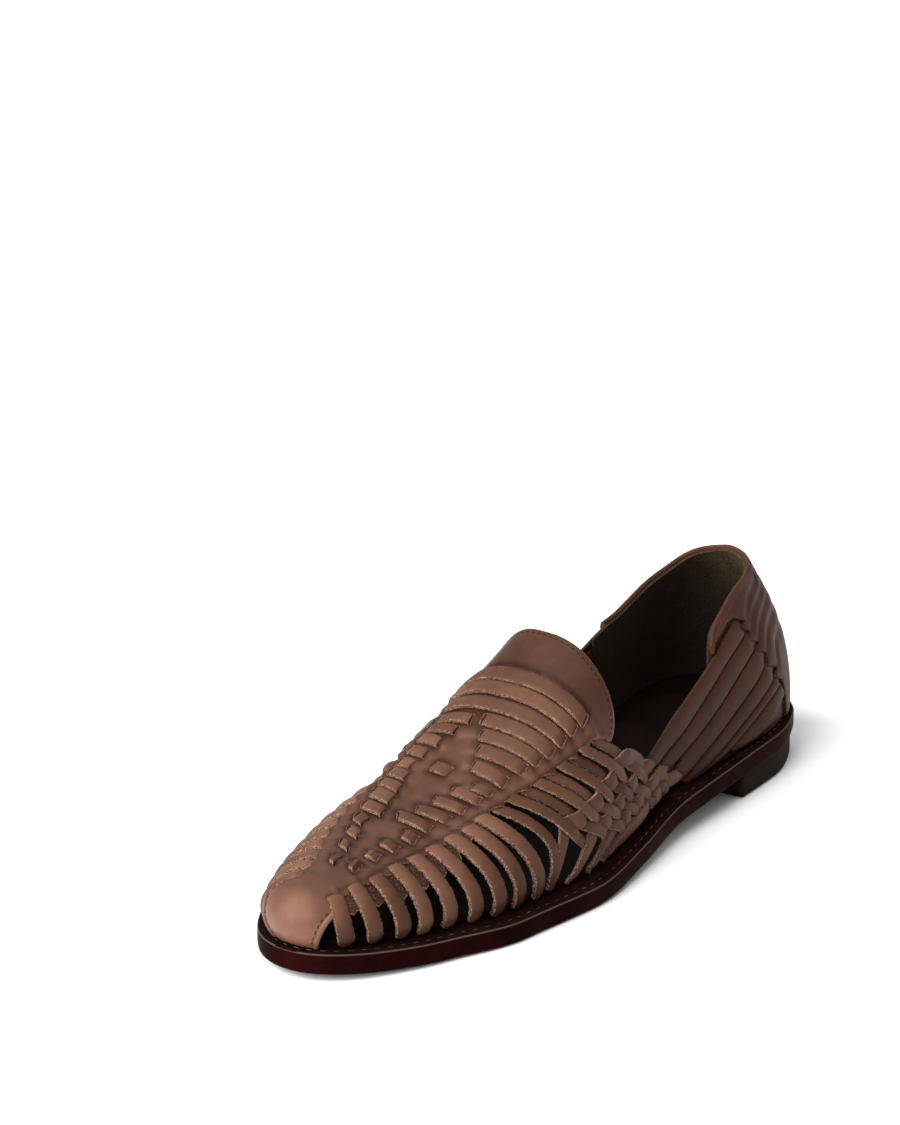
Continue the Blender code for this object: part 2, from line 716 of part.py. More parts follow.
for old in list(bpy.data.objects):
    bpy.data.objects.remove(old, do_unlink=True)
shoe = bpy.data.collections.new("Loafer")
bpy.context.scene.collection.children.link(shoe)
add_outsole()
add_midsole()
add_heel()
add_insole()
add_upper()
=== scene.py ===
"""Woven leather slip-on loafer, left shoe: finished sole and strip-woven upper, in a plain pale studio.

Metres, +Z up, standing on z = 0. The toe points to -X and the outer side of the foot is -Y.
"""

import math
from collections import namedtuple

import bmesh
import bpy
import numpy as np
from mathutils import Matrix, Vector
from mathutils.geometry import delaunay_2d_cdt


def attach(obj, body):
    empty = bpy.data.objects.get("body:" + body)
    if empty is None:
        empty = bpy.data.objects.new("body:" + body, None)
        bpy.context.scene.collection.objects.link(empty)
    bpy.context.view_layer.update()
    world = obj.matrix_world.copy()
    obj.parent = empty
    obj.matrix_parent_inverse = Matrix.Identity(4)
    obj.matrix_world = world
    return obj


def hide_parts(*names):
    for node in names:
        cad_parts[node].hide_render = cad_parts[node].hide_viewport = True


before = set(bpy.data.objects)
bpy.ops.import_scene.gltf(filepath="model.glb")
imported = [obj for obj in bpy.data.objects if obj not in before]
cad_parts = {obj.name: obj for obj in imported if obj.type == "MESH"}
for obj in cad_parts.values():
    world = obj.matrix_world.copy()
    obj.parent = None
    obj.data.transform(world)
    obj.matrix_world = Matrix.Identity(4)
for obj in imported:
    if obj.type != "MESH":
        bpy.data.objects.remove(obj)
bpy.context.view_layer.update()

# Outsole. A plate of sole leather cut to the outline, its edge trimmed, dyed burgundy and polished.
# It lies flat under the ball, springs up a little at the toe and rises over the heel.
LENGTH = 0.300
BALL_WIDTH = 0.094
HEEL_HEIGHT = 0.0104
TOE_SPRING = 0.003
OUTSOLE_THICK = 0.0046
SOLE_STRIPS = 150

# The last and the sole outline, a row for each of 13 stations from the heel's back to the toe's tip.
# half and centre: the outline's half width and middle, as shares of the ball width.
# margin: share of the side shelf between outline and upper. ridge: the crest's place across, as centre.
# height: the last above its feather line, as a share of the instep. square: how boxy the section is.
# bulge: how far the wall swells past the feather line. rise, spring: shares of heel height and toe spring.
Section = namedtuple("Section", "half centre margin ridge height square bulge rise spring")
SECTIONS = [Section(*row) for row in (
    (0.000, 0.000, 0.00, 0.000, 1.000, 1.90, 0.00, 1.00, 0.00),
    (0.181, 0.000, 0.16, 0.000, 1.000, 1.90, 0.00, 1.00, 0.00),
    (0.324, -0.011, 0.38, -0.010, 1.000, 1.90, 0.00, 0.99, 0.00),
    (0.381, -0.035, 0.60, -0.015, 1.040, 1.95, 0.00, 0.96, 0.00),
    (0.383, -0.053, 0.80, -0.015, 1.120, 2.10, 0.00, 0.88, 0.00),
    (0.370, -0.074, 0.92, 0.000, 1.230, 2.40, 0.00, 0.66, 0.00),
    (0.426, -0.078, 1.00, 0.011, 1.000, 2.60, 0.00, 0.26, 0.00),
    (0.500, -0.043, 1.00, 0.016, 0.710, 2.60, 0.03, 0.00, 0.00),
    (0.500, 0.010, 1.00, 0.032, 0.455, 2.50, 0.07, 0.00, 0.00),
    (0.413, 0.043, 0.90, 0.040, 0.350, 2.40, 0.09, 0.00, 0.20),
    (0.290, 0.046, 0.72, 0.040, 0.310, 2.35, 0.13, 0.00, 0.55),
    (0.156, 0.049, 0.40, 0.042, 0.275, 2.30, 0.17, 0.00, 0.87),
    (0.000, 0.048, 0.00, 0.048, 0.000, 2.30, 0.17, 0.00, 1.00),
)]
STATIONS = len(SECTIONS) - 1


def smooth(column, a):
    """The column of SECTIONS at each a, 0 at the heel and 1 at the toe, without overshoot between rows."""
    values = np.array([getattr(row, column) for row in SECTIONS])
    steps = np.diff(values)
    product = steps[:-1] * steps[1:]
    total = np.where(product > 0, steps[:-1] + steps[1:], 1)
    slopes = np.concatenate((steps[:1], np.where(product > 0, 2 * product / total, 0), steps[-1:]))
    place = np.clip(a, 0, 1) * len(steps)
    row = np.minimum(place.astype(int), len(steps) - 1)
    t = place - row
    start = (2 * t**3 - 3 * t**2 + 1) * values[row] + (t**3 - 2 * t**2 + t) * slopes[row]
    return start + (3 * t**2 - 2 * t**3) * values[row + 1] + (t**3 - t**2) * slopes[row + 1]


def ground_line(a):
    """Height of the sole's underside: heel lift, flat tread and toe spring."""
    return smooth("rise", a) * HEEL_HEIGHT + smooth("spring", a) * TOE_SPRING


def outline_middle():
    """Middle of the sole's box across, which becomes y = 0."""
    a = np.linspace(0, 1, 241)
    middles = BALL_WIDTH * smooth("centre", a)
    halves = BALL_WIDTH * smooth("half", a)
    return ((middles - halves).min() + (middles + halves).max()) / 2


MIDDLE = outline_middle()


# Where each point of a ring round the sole is, from heel to toe on the outer side and back on the inner one
outward = np.arange(SOLE_STRIPS + 1) / SOLE_STRIPS
RING_SHARE = np.concatenate((outward, outward[-2:0:-1]))
RING_SIDE = np.concatenate((-np.ones(SOLE_STRIPS + 1), np.ones(SOLE_STRIPS - 1)))


def moved_in(x, y, inset):
    """The closed row of points at x and y, each moved in by inset."""
    points = np.stack((x, y), axis=1)
    ahead = np.roll(points, -1, axis=0) - np.roll(points, 1, axis=0)
    inward = np.stack((ahead[:, 1], -ahead[:, 0]), axis=1)
    return points + inward / np.linalg.norm(inward, axis=1)[:, None] * inset


def outline(inset):
    """The sole's outline as a closed row of points, moved in by inset."""
    x = LENGTH * np.cos(math.pi * RING_SHARE) / 2
    y = BALL_WIDTH * (smooth("centre", RING_SHARE) + RING_SIDE * smooth("half", RING_SHARE)) - MIDDLE
    return moved_in(x, y, inset)


def ground_at(x):
    """Height of the sole's underside at x."""
    return ground_line(np.arccos(np.clip(2 * x / LENGTH, -1, 1)) / math.pi)


def standing(points, rise):
    """Points of the plan raised onto the sole's curve, and by rise more."""
    return np.column_stack((points, ground_at(points[:, 0]) + rise))


def blank():
    """An empty mesh whose vertices can hold their order, how much they show the cut edge, and a tone."""
    mesh = bmesh.new()
    mesh.verts.layers.int.new("order")
    mesh.verts.layers.float.new("cut")
    mesh.verts.layers.float.new("tone")
    return mesh


def plate(mesh, ring, profile):
    """A plate: the ring of points at each (inset, rise) of the profile, top and bottom filled."""
    verts = bmesh.ops.create_circle(mesh, segments=len(ring(0)), radius=1)["verts"]
    edges = list(mesh.edges)
    order = mesh.verts.layers.int["order"]
    for i, vert in enumerate(verts):
        vert[order] = i
    first = list(edges)
    for step, (inset, rise) in enumerate(profile):
        if step:
            extruded = bmesh.ops.extrude_edge_only(mesh, edges=edges)["geom"]
            verts = [item for item in extruded if isinstance(item, bmesh.types.BMVert)]
            edges = [item for item in extruded if isinstance(item, bmesh.types.BMEdge)]
        places = standing(ring(inset), rise)
        for vert in verts:
            vert.co = places[vert[order]]
    bmesh.ops.triangle_fill(mesh, use_beauty=True, edges=first)
    bmesh.ops.triangle_fill(mesh, use_beauty=True, edges=edges)
    bmesh.ops.recalc_face_normals(mesh, faces=mesh.faces)


def linear(code):
    """An sRGB hex colour as linear red, green, blue and full opacity."""
    shares = [int(code[i:i + 2], 16) / 255 for i in (1, 3, 5)]
    return tuple(s / 12.92 if s <= 0.04045 else ((s + 0.055) / 1.055) ** 2.4 for s in shares) + (1,)


def add(tree, kind, inputs=(), out=0, **settings):
    """One output of a new node with its settings, its inputs being values or links from other nodes."""
    made = tree.nodes.new("ShaderNode" + kind)
    for name, value in settings.items():
        setattr(made, name, value)
    for name, value in dict(inputs).items():
        if isinstance(value, bpy.types.NodeSocket):
            tree.links.new(value, made.inputs[name])
        else:
            made.inputs[name].default_value = value
    return made.outputs[out] if made.outputs else None


def empty_finish(name):
    """A material with no nodes but the one that gives places on the piece, its tree, and those places."""
    made = bpy.data.materials.new(name)
    made.use_nodes = True
    made.node_tree.nodes.clear()
    return made, made.node_tree, add(made.node_tree, "TexCoord", out="Object")


def finish_surface(tree, colour, rough, height, distance, gloss, **shader):
    """The last nodes of a finish: its bump, shader and output."""
    normal = add(tree, "Bump", {"Height": height, "Distance": distance, "Strength": 1.0})
    inputs = {"Base Color": colour, "Roughness": rough, "Normal": normal, "Specular IOR Level": gloss}
    surface = add(tree, "BsdfPrincipled", {**inputs, **shader})
    add(tree, "OutputMaterial", {"Surface": surface})


def finish(name, base, patterns, coats, rough, grain, gloss, **shader):
    """A base colour with coats of other colours over it, a roughness, and a grain of (pattern, depth).

    A pattern is a noise with its detail and three scales, in repeats a metre: 1000 is a pattern 1 mm wide.
    Grain, nap and twist are drawn a little coarser than real ones, so that they show.
    A coat is (pattern or painted value, low, high, colour). It starts at low and covers fully at high.
    rough is a number, or a pattern with the least and the most.
    """
    made, tree, place = empty_finish(name)
    found = {}
    for pattern, (detail, *scales) in patterns.items():
        spread = add(tree, "Mapping", {"Vector": place, "Scale": scales})
        found[pattern] = add(tree, "TexNoise", {"Vector": spread, "Scale": 1.0, "Detail": detail})
    colour = linear(base)
    for pattern, low, high, coat in coats:
        value = found.get(pattern) or add(tree, "Attribute", out="Fac", attribute_name=pattern)
        share = add(tree, "MapRange", {"Value": value, "From Min": low, "From Max": high})
        colour = add(tree, "Mix", {"Factor": share, 6: colour, 7: linear(coat)}, out=2, data_type="RGBA")
    if isinstance(rough, tuple):
        pattern, least, most = rough
        rough = add(tree, "MapRange", {"Value": found[pattern], "To Min": least, "To Max": most})
    pattern, depth = grain
    finish_surface(tree, colour, rough, found[pattern], depth, gloss, **shader)
    return made


# Vegetable-tanned sole leather, its edge trimmed, dyed and waxed: to the eye a red that is nearly black,
# with faint layers along it, a soft shine, and a pale painted highlight where the cut value is set
edge_dye = finish(
    "Edge-dyed sole leather", "#120303",
    {"clouds": (4, 60, 60, 60), "grain": (3, 900, 900, 900), "layers": (3, 30, 30, 1400)},
    (("clouds", 0.35, 0.7, "#220707"), ("layers", 0.55, 0.8, "#0f0605"), ("cut", 0, 1, "#776c66")),
    ("grain", 0.34, 0.52), ("layers", 0.00012), 0.006,
)
CORNER_ANGLE = 0.7


def finished(mesh, name, finishes, node):
    """Makes the mesh a piece of the shoe that stands for a CAD node."""
    data = bpy.data.meshes.new(name)
    mesh.to_mesh(data)
    mesh.free()
    data.shade_smooth()
    data.set_sharp_from_angle(angle=CORNER_ANGLE)
    for one in finishes:
        data.materials.append(one)
    piece = bpy.data.objects.new(name, data)
    bpy.context.scene.collection.objects.link(piece)
    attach(piece, "root")
    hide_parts(node)


outsole = blank()
plate(outsole, outline, (
    (0.0120, 0.0), (0.0016, 0.0), (0.0008, 0.0002), (0.0003, 0.0007), (0.0001, 0.0015),
    (0.0, 0.0026), (0.0, OUTSOLE_THICK + 0.0001), (0.0100, OUTSOLE_THICK + 0.0001),
))
finished(outsole, "outsole_leather", [edge_dye], "outsole")

# Heel. A stack of leather lifts with a top piece, nailed under the outsole's back end,
# its sides ground flush and its front face, the breast, cut square.
HEEL_BREAST = 0.080
HEEL_INSET = 0.0012
HEEL_POINTS = 120
# Stacked sole leather, sanded and left dull: dark brown, with darker lines where its lifts meet
heel_leather = finish(
    "Stacked heel leather", "#150e0a", {"clouds": (5, 90, 90, 90), "lifts": (4, 20, 20, 900)},
    (("clouds", 0.3, 0.7, "#241a13"), ("lifts", 0.5, 0.8, "#0d0806")), 0.6, ("lifts", 0.00015), 0.02,
)


def looped(ring):
    """The ring of points with its first point again at its end."""
    return np.vstack((ring, ring[:1]))


def run_along(line):
    """The distance covered along a line at each of its points."""
    return np.concatenate(([0], np.cumsum(np.linalg.norm(np.diff(line, axis=0), axis=1))))


def at_run(at, run, line):
    """The line's points where its run reaches at."""
    return np.stack([np.interp(at, run, column) for column in line.T], axis=-1)


def heel_ring(inset):
    """The outline's part behind the breast, closed by a straight line across."""
    ring = outline(HEEL_INSET + inset)
    front = HEEL_BREAST + min(inset, 0.002)
    count = int((ring[: SOLE_STRIPS + 1, 0] > front).sum())
    outer = ring[:count]
    inner = ring[len(ring) - count + 1:]
    breast = np.linspace(outer[-1], inner[0], 9)
    breast[:, 0] = front
    points = looped(np.concatenate((outer, breast, inner)))
    run = run_along(points)
    return at_run(np.linspace(0, run[-1], HEEL_POINTS + 1)[:-1], run, points)


heel = blank()
plate(heel, heel_ring, (
    (0.0100, 0.0), (0.0010, 0.0), (0.0004, 0.0003), (0.0, 0.0009),
    (0.0, 0.0030), (0.0, 0.0060), (0.0, 0.0085), (0.0, HEEL_HEIGHT), (0.0100, HEEL_HEIGHT),
))
for vert in heel.verts:
    ground = ground_at(vert.co.x)
    vert.co.z = (vert.co.z - ground) / HEEL_HEIGHT * ground
finished(heel, "heel_stack", [heel_leather], "heel")

# Midsole. A thinner plate whose edge is dyed with the outsole's and whose top shows round the upper
# as a dark welt, with a grey thread sewn through it and a fine painted highlight line along its top corner.
MIDSOLE_THICK = 0.0032
GAP = 0.0003
# Waxed shoulder leather: nearly black brown and dull, with a fine grain
welt_leather = finish(
    "Dark waxed welt leather", "#120705", {"clouds": (5, 120, 120, 120), "grain": (2, 1400, 1400, 1400)},
    (("clouds", 0.3, 0.7, "#1f0e0a"),), 0.62, ("grain", 0.00012), 0.012,
)
midsole_base = OUTSOLE_THICK + GAP
midsole_top = midsole_base + MIDSOLE_THICK
midsole = blank()
plate(midsole, outline, (
    (0.0100, midsole_base - 0.00025), (0.0, midsole_base - 0.00025), (0.0, midsole_top - 0.0007),
    (0.0001, midsole_top - 0.0003), (0.0004, midsole_top - 0.00005), (0.0008, midsole_top),
    (0.0200, midsole_top),
))
# Painted highlight: the ring at the midsole's top corner is coloured pale, as a line of light along it.
CORNER_HIGHLIGHT = 0.3
cut = midsole.verts.layers.float["cut"]
for vert in midsole.verts:
    rise = vert.co.z - ground_at(vert.co.x)
    vert[cut] = CORNER_HIGHLIGHT if midsole_top - 0.0004 < rise < midsole_top - 0.00002 else 0.0
for face in midsole.faces:
    face.material_index = 1 if face.normal.z > 0.8 else 0
finished(midsole, "midsole_welt", [edge_dye, welt_leather], "midsole")

SEAM_INSET = 0.0034
STITCH_LONG = 0.0023
STITCH_PITCH = 0.0049
STITCH_WIDE = 0.00045
# Twisted linen thread, waxed and soiled: pale grey and brown grey by turns, with a twist 0.4 mm wide
welt_thread = finish(
    "Grey waxed linen thread", "#1c1613", {"soil": (3, 60, 60, 60), "twist": (2, 2500, 2500, 2500)},
    (("soil", 0.35, 0.65, "#4c443e"),), 0.7, ("twist", 0.0001), 0.2,
)


def stitch(mesh, start, end, normal):
    """One stitch of thread between two points, sunk by half its thickness."""
    made = bmesh.ops.create_uvsphere(mesh, u_segments=6, v_segments=5, radius=1)["verts"]
    run = (end - start) / 2
    side = np.cross(normal, run)
    side *= STITCH_WIDE / 2 / np.linalg.norm(side)
    for vert in made:
        x, y, z = vert.co
        vert.co = (start + end) / 2 + run * z + side * x + normal * STITCH_WIDE * 0.4 * y


thread = blank()
seam = looped(standing(outline(SEAM_INSET), midsole_top))
run = run_along(seam)
for start in np.arange(0.0, run[-1] - STITCH_PITCH / 2, STITCH_PITCH):
    stitch(thread, *at_run([start, start + STITCH_LONG], run, seam), np.array((0.0, 0.0, 1.0)))
finished(thread, "welt_thread", [welt_thread], "midsole")

# Insole. A sock of smooth dark leather, glued on the insole board inside the shoe and worn dull by the foot.
# It fills the feather line, where the upper meets the sole.
INSOLE_THICK = 0.0025
SIDE_SHELF = 0.009
HEEL_SHELF = 0.0045
TOE_SHELF = 0.0065
# Thin lining leather, smooth but dull: nearly black, with a faint warm cloud
sock_leather = finish(
    "Dark insole sock leather", "#0a0503", {"clouds": (5, 70, 70, 70), "grain": (2, 1100, 1100, 1100)},
    (("clouds", 0.3, 0.7, "#140b08"),), 0.55, ("grain", 0.0001), 0.06,
)


def half_width(a):
    """Half the last's width at its feather line."""
    return BALL_WIDTH * smooth("half", a) - SIDE_SHELF * smooth("margin", a)


def station_x(a):
    """Where the last's section at a stands along the shoe."""
    return LENGTH / 2 - HEEL_SHELF - (1 - np.cos(math.pi * a)) / 2 * (LENGTH - HEEL_SHELF - TOE_SHELF)


def insole_ring(inset):
    """The feather line as a closed row of points in plan, moved in by inset."""
    y = BALL_WIDTH * smooth("centre", RING_SHARE) - MIDDLE + RING_SIDE * half_width(RING_SHARE)
    return moved_in(station_x(RING_SHARE), y, inset)


insole_base = midsole_top + 0.0001
insole = blank()
plate(insole, insole_ring, (
    (0.0120, insole_base), (0.0008, insole_base), (0.0006, insole_base + 0.0012),
    (0.0008, insole_base + INSOLE_THICK - 0.0002), (0.0012, insole_base + INSOLE_THICK),
    (0.0120, insole_base + INSOLE_THICK),
))
finished(insole, "insole_sock", [sock_leather], "insole")

# Plug. One big piece of smooth brown leather over the toe, vamp and instep, ending in the tongue.
# Its zigzag edge covers the tops of the side strips, and strips drawn under it raise soft puckers.
INSTEP = 0.071
TOE_BULGE = 0.005
TOE_HEIGHT = 0.021
HEEL_LEAN = 0.014
HEEL_BULGE = 0.002
BACK_HEIGHT = 0.054


def feather_height(a):
    """Height of the line where the upper meets the midsole."""
    return ground_line(a) + midsole_top + GAP


def last_point(a, k):
    """Points of the last: k is 0 on the crest, -1 at the outer feather line and 1 at the inner one."""
    half = half_width(a)
    centre = BALL_WIDTH * smooth("centre", a) - MIDDLE
    crest = BALL_WIDTH * smooth("ridge", a) - MIDDLE
    height = INSTEP * smooth("height", a)
    power = 2 / smooth("square", a)
    turn = np.abs(k) * math.pi / 2
    out = np.sin(turn) ** power
    up = np.maximum(np.cos(turn), 0) ** power
    side = np.where(k < 0, centre - half, centre + half)
    y = crest + (side - crest) * out * (1 + smooth("bulge", a) * np.sin(math.pi * up))
    toe = np.maximum(-np.cos(math.pi * a), 0) ** 6
    heel = np.maximum(np.cos(math.pi * a), 0) ** 3
    climb = height * up / BACK_HEIGHT
    x = station_x(a)
    x = x - toe * TOE_BULGE * np.sin(math.pi * np.minimum(height * up / TOE_HEIGHT, 1))
    swell = HEEL_BULGE * np.sin(math.pi * np.minimum(climb, 1))
    x = x - heel * (HEEL_LEAN * np.minimum(climb, 1.3) ** 2 - swell)
    return np.stack((x, y, feather_height(a) + height * up), axis=1)


def last_normal(a, k):
    """Unit normals of the last, pointing out."""
    step = 0.001
    ahead = last_point(np.minimum(a + step, 1), k) - last_point(np.maximum(a - step, 0), k)
    around = last_point(a, np.minimum(k + step, 1)) - last_point(a, np.maximum(k - step, -1))
    normal = np.cross(around, ahead)
    normal[:, 1] = np.where(a == 0, 0, normal[:, 1])
    normal[a > 0.9995] = (-1, 0, 0)
    return normal / np.linalg.norm(normal, axis=1)[:, None]


def on_last(station, around, lift):
    """Places on the upper, a station and a place around, as points lifted off the last."""
    a = np.clip(np.asarray(station, float) / STATIONS, 0, 1)
    k = np.clip(np.asarray(around, float), -1, 1)
    points = last_point(a, k) + last_normal(a, k) * np.broadcast_to(lift, a.shape)[:, None]
    points[:, 2] = np.maximum(points[:, 2], feather_height(a))
    return points


def girth(a):
    """Length from crest to feather line, for the flat pattern."""
    return 1.1 * np.hypot(half_width(a), INSTEP * smooth("height", a))


def flat(places):
    """The flat pattern's points, in metres, for rows of station and place around."""
    places = np.asarray(places, float).reshape(-1, 2)
    a = places[:, 0] / STATIONS
    return np.column_stack((a * LENGTH, places[:, 1] * girth(a)))


def unflat(points):
    """Station and place around for points of the flat pattern."""
    a = np.clip(points[:, 0] / LENGTH, 0, 1)
    return a * STATIONS, points[:, 1] / np.maximum(girth(a), 1e-6)


def curved(places, between=4):
    """A smooth line through the places, with more places between each two of them."""
    rows = np.asarray(places, float)
    ends = np.vstack((2 * rows[0] - rows[1], rows, 2 * rows[-1] - rows[-2]))
    result = [rows[0]]
    for before, start, end, after in zip(ends, ends[1:], ends[2:], ends[3:]):
        for t in np.arange(1, between + 1) / between:
            bend = (2 * before - 5 * start + 4 * end - after) * t**2
            twist = (3 * start - before - 3 * end + after) * t**3
            result.append((2 * start + (end - before) * t + bend + twist) / 2)
    return np.array(result)


def divided(line, spacing, closed=False):
    """The line with points added evenly, so that its pieces are about spacing long."""
    rows = looped(line) if closed else np.asarray(line)
    result = []
    for start, end in zip(rows, rows[1:]):
        pieces = max(1, math.ceil(np.linalg.norm(end - start) / spacing))
        result += [start + (end - start) * i / pieces for i in range(pieces)]
    if not closed:
        result.append(rows[-1])
    return np.array(result)


def inside(points, polygon):
    """Which of the points the polygon holds."""
    found = np.zeros(len(points), bool)
    for (x0, y0), (x1, y1) in zip(polygon, np.roll(polygon, -1, axis=0)):
        if y0 == y1:
            continue
        crosses = (y0 > points[:, 1]) != (y1 > points[:, 1])
        found ^= crosses & (points[:, 0] < x0 + (points[:, 1] - y0) * (x1 - x0) / (y1 - y0))
    return found


def grown(polygon, distance):
    """The polygon with each side moved out by distance, corners mitred."""
    area = sum(p[0] * q[1] - q[0] * p[1] for p, q in zip(polygon, np.roll(polygon, -1, axis=0)))
    polygon = polygon if area > 0 else polygon[::-1]
    before = polygon - np.roll(polygon, 1, axis=0)
    after = np.roll(polygon, -1, axis=0) - polygon
    first = np.column_stack((before[:, 1], -before[:, 0])) / np.linalg.norm(before, axis=1)[:, None]
    second = np.column_stack((after[:, 1], -after[:, 0])) / np.linalg.norm(after, axis=1)[:, None]
    bisector = first + second
    bisector /= np.maximum((bisector**2).sum(axis=1) / 2, 0.7)[:, None]
    return polygon + bisector * distance


def distance_to(points, line):
    """Distance of each point from a line of points."""
    nearest = np.full(len(points), 1.0)
    for start, end in zip(line, line[1:]):
        run = end - start
        share = np.clip((points - start) @ run / max(run @ run, 1e-12), 0, 1)
        nearest = np.minimum(nearest, np.linalg.norm(points - start - share[:, None] * run, axis=1))
    return nearest


EDGE_STEP = 0.0012
HOLE_STEP = 0.0009


def panel(mesh, edge, height, thick, spacing, tone=0.5, round_edge=0.0004, holes=()):
    """A sheet of leather cut to an edge in the flat pattern, with holes, laid on the last at a height.

    height, in metres over the last, and tone are each a number or a function of the flat pattern's points.
    The sheet keeps its thickness, and its cut edges are rounded.
    """
    rings = [divided(line, EDGE_STEP, closed=True) for line in (edge, grown(edge, -round_edge))]
    rims = [rings[0]]
    for hole in holes:
        rims.append(divided(hole, HOLE_STEP, closed=True))
        rings += [rims[-1], divided(grown(hole, round_edge), HOLE_STEP, closed=True)]
    low, high = edge.min(axis=0), edge.max(axis=0)
    field = np.array([
        (x, y)
        for i, x in enumerate(np.arange(low[0], high[0], spacing * 0.866))
        for y in np.arange(low[1] + (i % 2) * spacing / 2, high[1], spacing)
    ])
    field = field[inside(field, edge)]
    for ring in rings[1::2]:
        field = field[distance_to(field, looped(ring)) > spacing * 0.5]
    for hole in holes:
        field = field[~inside(field, hole)]
    constraints = []
    count = 0
    for ring in rings:
        constraints += [(count + i, count + (i + 1) % len(ring)) for i in range(len(ring))]
        count += len(ring)
    points = np.vstack(rings + [field])
    placed, _, faces, *_ = delaunay_2d_cdt([Vector(point) for point in points], constraints, [], 0, 1e-7)
    placed = np.array([tuple(p) for p in placed])
    middles = np.array([placed[list(face)].mean(axis=0) for face in faces])
    keep = inside(middles, edge)
    rim = np.full(len(placed), 1.0)
    for ring in rims:
        rim = np.minimum(rim, distance_to(placed, looped(ring)))
    for hole in holes:
        keep &= ~inside(middles, hole)
    lift, tones = [one(placed) if callable(one) else np.full(len(placed), one) for one in (height, tone)]
    drop = round_edge * 0.7 * (1 - np.clip(rim / round_edge, 0, 1)) ** 2
    station, around = unflat(placed)
    top = on_last(station, around, lift - drop)
    bottom = on_last(station, around, lift - thick)
    order = mesh.verts.layers.int["order"]
    cut = mesh.verts.layers.float["cut"]
    shade = mesh.verts.layers.float["tone"]
    verts = []
    for i, point in enumerate(top):
        vert = mesh.verts.new(point)
        vert[order] = i
        vert[cut] = 1 - min(rim[i] / round_edge, 1)
        vert[shade] = tones[i]
        verts.append(vert)
    sheet = [mesh.faces.new([verts[i] for i in face]) for face, kept in zip(faces, keep) if kept]
    bmesh.ops.delete(mesh, geom=[vert for vert in verts if not vert.link_faces], context="VERTS")
    for item in bmesh.ops.extrude_face_region(mesh, geom=sheet, use_keep_orig=True)["geom"]:
        if isinstance(item, bmesh.types.BMVert):
            item.co = bottom[item[order]]
            item[cut] = 1
    bmesh.ops.recalc_face_normals(mesh, faces=mesh.faces)


def leather(name, dark, light, raw, rough, gloss=0.3, grain=0.00005):
    """Pull-up leather: a waxed brown grain side, mottled, whose cut edges show the paler rough fibre.

    Its clouds are 26 mm wide, its mottles 4 mm, its pores 0.7 mm and its fibres 0.45 mm. The last two are
    drawn coarser than real ones, so that they show.
    """
    made, tree, place = empty_finish(name)
    cloud, mottle, pores, fibre = [
        add(tree, "TexNoise", {"Vector": place, "Scale": scale, "Detail": detail})
        for scale, detail in ((38.0, 3.0), (240.0, 4.0), (1500.0, 3.0), (2200.0, 4.0))
    ]
    tone, cut = [add(tree, "Attribute", out="Fac", attribute_name=painted) for painted in ("tone", "cut")]
    # The tone attribute moves the colour from dark towards light. On several pieces it carries painted
    # highlight and painted shade as well as a random tone.
    blend = add(tree, "Math", {0: cloud, 1: 0.5, 2: tone}, operation="MULTIPLY_ADD")
    jagged = add(tree, "Math", {0: fibre, 1: 0.4, 2: cut}, operation="MULTIPLY_ADD")
    lightened, spotted, fluffy, bare = [
        add(tree, "MapRange", {"Value": value, "From Min": low, "From Max": high})
        for value, low, high in (
            (blend, 0.25, 1.25), (mottle, 0.3, 0.75), (fibre, 0.35, 0.7), (jagged, 0.55, 0.85),
        )
    ]
    colour, shade, fuzz = [
        add(tree, "Mix", {"Factor": share, 6: low, 7: high}, out=2, data_type="RGBA")
        for share, low, high in (
            (lightened, linear(dark), linear(light)),
            (spotted, (0.86, 0.86, 0.86, 1), (1.08, 1.06, 1.04, 1)),
            (fluffy, linear(dark), linear(raw)),
        )
    ]
    mixed = {"Factor": 1.0, 6: colour, 7: shade}
    colour = add(tree, "Mix", mixed, out=2, data_type="RGBA", blend_type="MULTIPLY")
    colour = add(tree, "Mix", {"Factor": bare, 6: colour, 7: fuzz}, out=2, data_type="RGBA")
    sheen = add(tree, "MapRange", {"Value": mottle, "To Min": rough - 0.06, "To Max": rough + 0.08})
    dull, rise = [
        add(tree, "Mix", {"Factor": bare, 2: grain_side, 3: raw_side}, data_type="FLOAT")
        for grain_side, raw_side in ((sheen, 0.9), (pores, fibre))
    ]
    finish_surface(tree, colour, dull, rise, grain, gloss, **{"Specular Tint": linear("#f2cfb4")})
    return made


# Waxed pull-up leather with a soft shine: dark brown to tan by random clouds and by the painted tone, which
# on the plug holds a painted highlight and painted shade
plug_leather = leather("Waxed pull-up leather", "#240d09", "#765243", "#846049", 0.40)

# A side strip: its front corner's station at the plug and places around on the outer and inner side, and the
# stations of its two corners at the welt
Strip = namedtuple("Strip", "top outer inner front back")
STRIPS = [Strip(*row) for row in (
    (10.79, 0.40, 0.12, 10.80, 10.46),
    (10.28, 0.36, 0.14, 10.20, 9.97),
    (9.82, 0.35, 0.20, 9.71, 9.49),
    (9.41, 0.31, 0.27, 9.37, 9.11),
    (9.05, 0.315, 0.315, 8.99, 8.73),
    (8.74, 0.31, 0.34, 8.63, 8.42),
    (8.46, 0.31, 0.36, 8.32, 8.11),
    (8.22, 0.32, 0.37, 8.02, 7.80),
    (8.02, 0.32, 0.38, 7.70, 7.50),
)]
# Where each strip of the weave comes out from under the plug
WOVEN_TOPS = (
    (7.80, 0.35), (7.63, 0.38), (7.46, 0.40), (7.32, 0.43), (7.16, 0.443),
    (7.01, 0.46), (6.85, 0.48), (6.71, 0.50), (6.52, 0.525),
)
